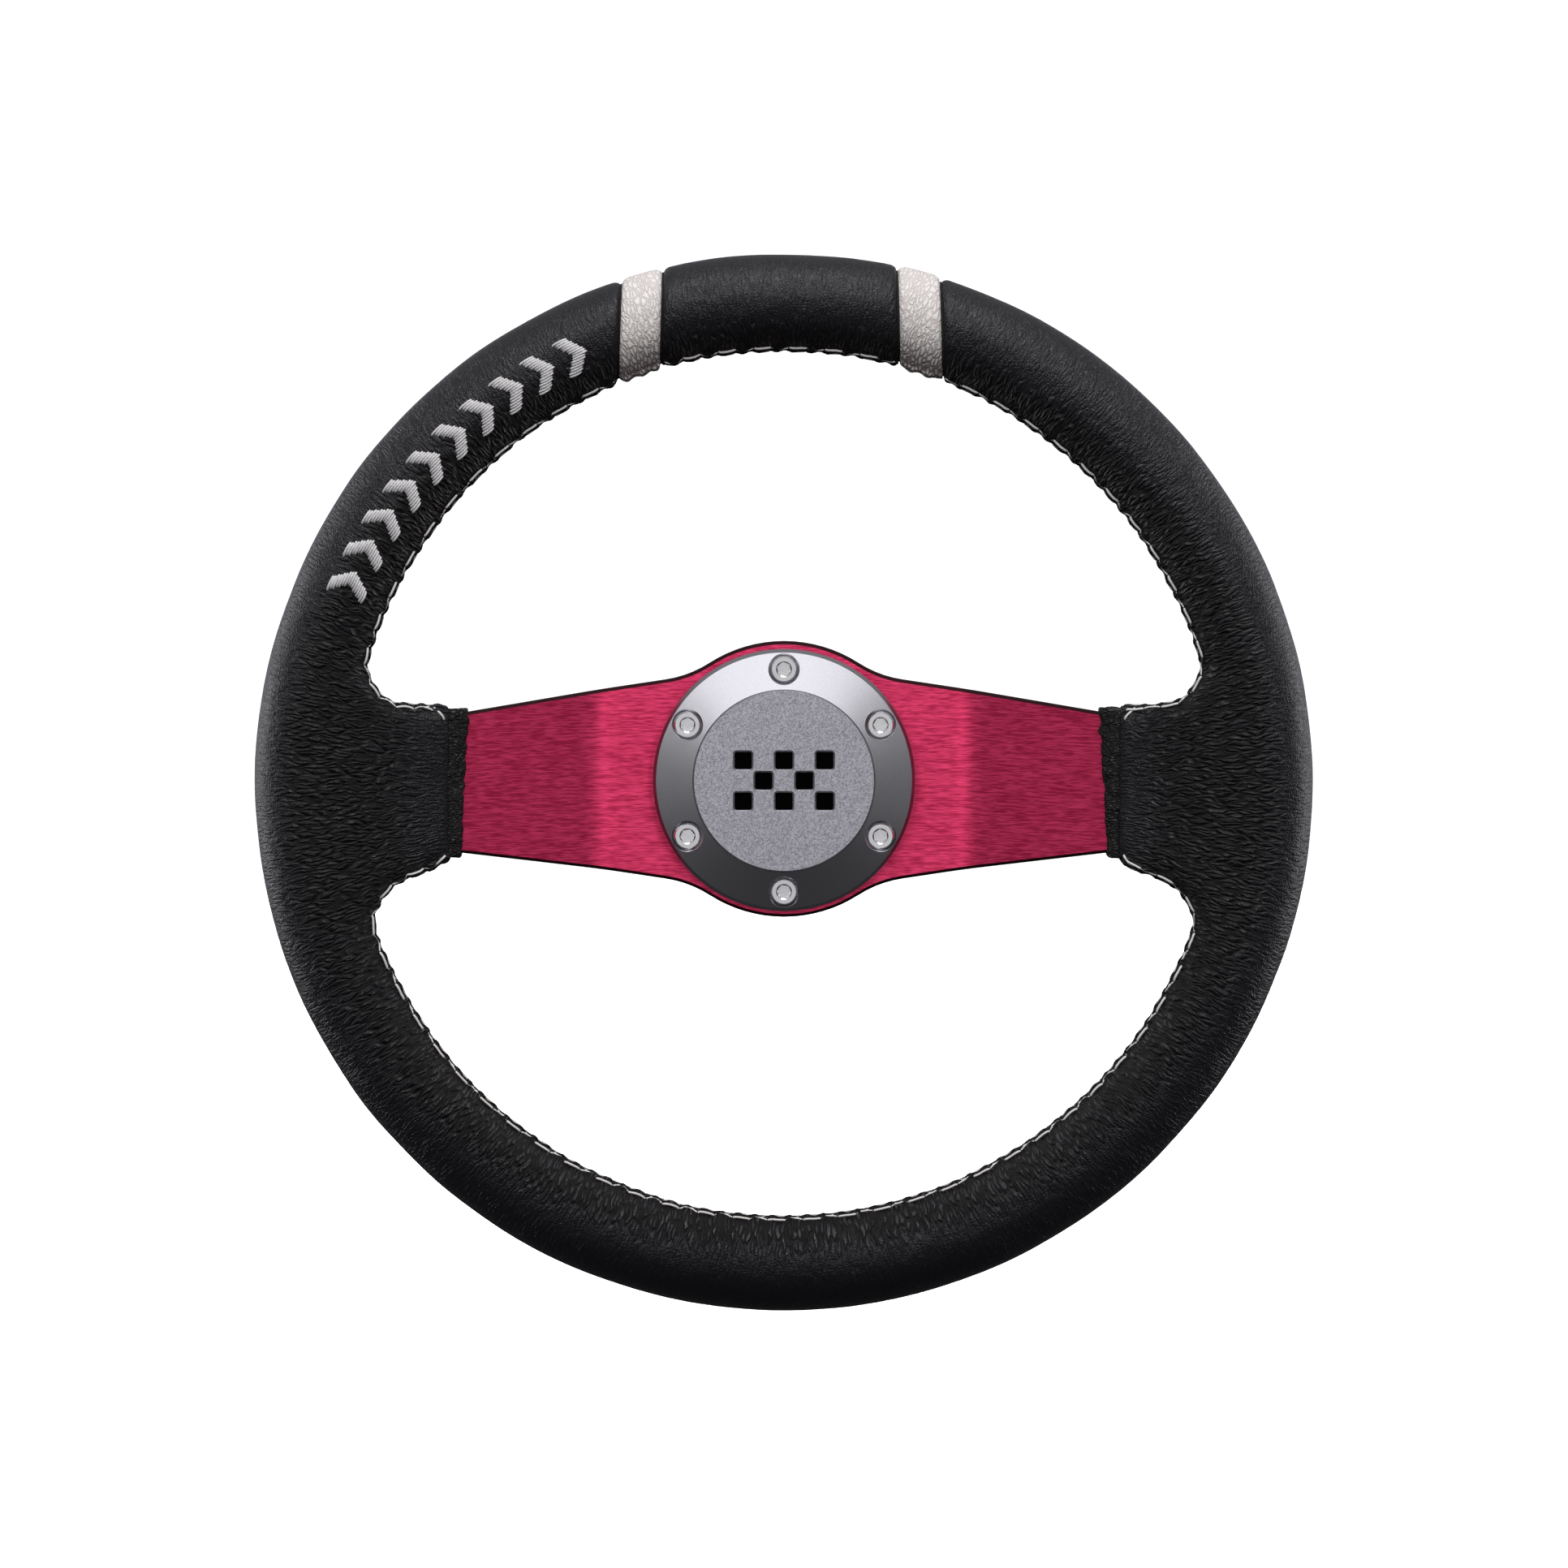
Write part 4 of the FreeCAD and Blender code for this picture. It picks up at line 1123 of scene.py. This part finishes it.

# %% [markdown]
# The collar is pushed back by a coil spring. A coil is a small circle swept up a helix, which is
# exactly what the Screw modifier does. The spring shortens as the collar is pulled; here it is
# built only at the length of the frame's spring.

# %% Return spring
SPRING_LOW, SPRING_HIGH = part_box("collar_spring")
WIRE = 0.9 * MM
SPRING_RADIUS = SPRING_HIGH.x - WIRE
SPRING_TURNS = 4
WIRE_SIDES = 14
STEPS_PER_TURN = 56
SPRING_PITCH = (SPRING_HIGH.y - SPRING_LOW.y - 2 * WIRE) / SPRING_TURNS
bpy.ops.object.select_all(action="DESELECT")
bpy.ops.mesh.primitive_circle_add(
    vertices=WIRE_SIDES,
    radius=WIRE,
    fill_type="NGON",
    location=(SPRING_RADIUS, SPRING_LOW.y + WIRE, 0),
)
spring = bpy.context.object
spring.name = "spring_coil"
bpy.ops.object.transform_apply(location=True, rotation=True, scale=True)
apply_modifier(
    spring,
    "SCREW",
    axis="Y",
    steps=STEPS_PER_TURN,
    render_steps=STEPS_PER_TURN,
    iterations=SPRING_TURNS,
    screw_offset=SPRING_PITCH,
    use_normal_calculate=True,
)
with editing(spring):
    bpy.ops.mesh.remove_doubles(threshold=0.01 * MM)
    bpy.ops.mesh.fill_holes(sides=0)
    bpy.ops.mesh.select_all(action="SELECT")
    bpy.ops.mesh.normals_make_consistent(inside=False)
shade_smooth(spring, 60)
# Oil tempering leaves wire a smoky grey, darker than bright steel and with a soft shine.
spring.data.materials.append(
    turned("oil_tempered_spring_steel", "#6d6e73", 0.3, 0.2 * MM, 0.01 * MM)
)
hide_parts("collar_spring")
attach(spring, "wheel")
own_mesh(spring)
print("spring:", len(spring.data.polygons), "faces")

# %% [markdown]
# ## Studio
# The wheel is shown as in a catalogue: held in front of white, with a large soft light above it
# and panels at its sides, so that the sloping ring is bright on top and dark at the sides, and
# the black rim keeps a pale edge. The world lights it as a white backdrop does: a bright band
# behind the wheel, dim in front, dark below; looked at directly it is plain white all round.
# Each light falls only where it is wanted: on the floor, on the black rim for the side panels,
# on the hub's metal for the front strips and card, on the spokes' slanting ends for the two side
# cards, or on all but the floor. The floor throws no light back, or the rim's underside would
# turn grey. Black cloth held between a lamp and what it must not light does the same in a real
# studio.

# %% World
DIM_FRONT = (0.06, 0.06, 0.065, 1)
BRIGHT_TOP = (0.5, 0.5, 0.52, 1)
BACKDROP = (0.6, 0.6, 0.7, 1)
PLAIN_WHITE = (1.2, 1.2, 1.2, 1)
world = bpy.data.worlds.new("white_studio")
bpy.context.scene.world = world
world.use_nodes = True
tree = world.node_tree
tree.nodes.clear()
look = add_node(tree, "ShaderNodeTexCoord").outputs["Generated"]
direction = add_node(tree, "ShaderNodeSeparateXYZ", {0: look})
overhead = add_node(
    tree,
    "ShaderNodeMapRange",
    {"Value": direction.outputs["Z"], "From Min": 0.15, "From Max": 0.7},
)
front = add_node(
    tree,
    "ShaderNodeMix",
    {"Factor": overhead, "A": DIM_FRONT, "B": BRIGHT_TOP},
    data_type="RGBA",
)
behind = add_node(
    tree,
    "ShaderNodeMapRange",
    {"Value": direction.outputs["Y"], "From Min": -0.35, "From Max": 0.3},
    interpolation_type="SMOOTHSTEP",
)
below_top = add_node(
    tree,
    "ShaderNodeMapRange",
    {"Value": direction.outputs["Z"], "From Min": 0.45, "From Max": 0.25},
    interpolation_type="SMOOTHSTEP",
)
above_foot = add_node(
    tree,
    "ShaderNodeMapRange",
    {"Value": direction.outputs["Z"], "From Min": -0.2, "From Max": -0.08},
    interpolation_type="SMOOTHSTEP",
)
band = add_node(tree, "ShaderNodeMath", {0: below_top, 1: above_foot}, operation="MULTIPLY")
backdrop = add_node(tree, "ShaderNodeMath", {0: behind, 1: band}, operation="MULTIPLY")
sky = add_node(
    tree,
    "ShaderNodeMix",
    {"Factor": backdrop, "A": front, "B": BACKDROP},
    data_type="RGBA",
)
seen = add_node(tree, "ShaderNodeLightPath").outputs["Is Camera Ray"]
shown = add_node(
    tree,
    "ShaderNodeMix",
    {"Factor": seen, "A": sky, "B": PLAIN_WHITE},
    data_type="RGBA",
)
background = add_node(tree, "ShaderNodeBackground", {"Color": shown, "Strength": 1.0})
add_node(tree, "ShaderNodeOutputWorld", {"Surface": background})
print("world:", len(tree.nodes), "nodes")

# %% Floor
FLOOR_GAP = 0.14
FLOOR_RADIUS = 4.4
FLOOR_Z = cad_low.z - FLOOR_GAP
bpy.ops.object.select_all(action="DESELECT")
bpy.ops.mesh.primitive_circle_add(
    vertices=96, radius=FLOOR_RADIUS, fill_type="NGON", location=(0, 0, FLOOR_Z)
)
floor = bpy.context.object
floor.name = "studio_floor"
# Matt paint on a plain board: the same pale grey from every side, with no reflection in it.
floor_paint, tree, _ = new_finish("matt_white_floor")
surface(tree, Base_Color=linear("#e8e8e8"), Roughness=0.9)
floor.data.materials.append(floor_paint)
floor.visible_glossy = False
floor.visible_diffuse = False
print("floor at", round(FLOOR_Z, 3), "m")

# %% What each light falls on


def only_on(name, pieces, state):
    """A list of the pieces that a light falls on, or with EXCLUDE, that it leaves dark."""
    group = bpy.data.collections.new(name)
    for piece in pieces:
        group.objects.link(piece)
    for member in group.collection_objects:
        member.light_linking.link_state = state
    return group


FLOOR_ONLY = only_on("floor_only", [floor], "INCLUDE")
ALL_BUT_FLOOR = only_on("all_but_floor", [floor], "EXCLUDE")
BLACK_RIM = only_on("black_rim", [grip_wrap, top_wrap], "INCLUDE")
METAL = only_on(
    "metal",
    [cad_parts[name] for name in ("spoke_plate", "hub_ring", "centre_cap", "hub_bolts")],
    "INCLUDE",
)
SPOKES = only_on("spokes", [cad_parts["spoke_plate"]], "INCLUDE")

# %% Lights


def softbox(name, place_at, aim, size, power, falls_on, spread=180):
    light = bpy.data.lights.new(name, "AREA")
    light.shape = "RECTANGLE"
    light.size, light.size_y = size
    light.energy = power
    light.spread = math.radians(spread)
    lamp = bpy.data.objects.new(name, light)
    lamp.location = place_at
    lamp.rotation_euler = (Vector(aim) - Vector(place_at)).to_track_quat("-Z", "Y").to_euler()
    lamp.light_linking.receiver_collection = falls_on
    bpy.context.collection.objects.link(lamp)


MIDDLE = (0, RIM_PLANE, 0)
softbox("top_light", (0.15, -1.0, 1.7), MIDDLE, (1.1, 0.8), 18, ALL_BUT_FLOOR)
softbox("ring_light", (-0.2, -2.0, 1.1), MIDDLE, (2.4, 0.7), 18, ALL_BUT_FLOOR)
softbox("left_side", (-1.6, 0.4, 0.1), MIDDLE, (1.2, 1.2), 15, BLACK_RIM)
softbox("right_side", (1.6, 0.4, 0.1), MIDDLE, (1.2, 1.2), 13, BLACK_RIM)
softbox("left_strip", (-0.75, -2.4, 0.15), MIDDLE, (0.25, 1.2), 8, METAL)
softbox("right_strip", (0.75, -2.4, 0.15), MIDDLE, (0.25, 1.2), 6, METAL)
softbox("front_card", (0, -2.7, -0.1), MIDDLE, (0.8, 0.5), 0.8, METAL)
softbox("left_card", (-1.9, -1.55, 0), MIDDLE, (1.2, 1.2), 1.8, SPOKES)
softbox("right_card", (1.9, -1.55, 0), MIDDLE, (1.2, 1.2), 1.8, SPOKES)
softbox("floor_light", (0, 2.25, 1.6), (0, 2.25, 0), (2.4, 4.3), 60, FLOOR_ONLY, 40)
softbox("floor_fill", (0, 0, 3.0), (0, 0, 0), (9.0, 9.0), 300, FLOOR_ONLY)
print("lights:", len(bpy.data.lights))

# %% [markdown]
# The wheel is seen nearly square on, from a little above its middle and through a long lens, so
# that the near side of the rim is hardly larger than the far one.

# %% Camera
VIEW_DISTANCE = 2.8
VIEW_ELEVATION = math.radians(3)
VIEW_WIDTH = 0.4888
camera_data = bpy.data.cameras.new("camera")
camera = bpy.data.objects.new("camera", camera_data)
bpy.context.collection.objects.link(camera)
camera.location = (
    0,
    RIM_PLANE - VIEW_DISTANCE * math.cos(VIEW_ELEVATION),
    VIEW_DISTANCE * math.sin(VIEW_ELEVATION),
)
camera.rotation_euler = (math.pi / 2 - VIEW_ELEVATION, 0, 0)
camera_data.lens = camera_data.sensor_width * VIEW_DISTANCE / VIEW_WIDTH
bpy.context.scene.camera = camera
bpy.context.scene.view_settings.view_transform = "Standard"
print("camera:", [round(v, 3) for v in camera.location], round(camera_data.lens), "mm lens")

# %% Remove the skin that the panels were cut from
bpy.data.objects.remove(grip)
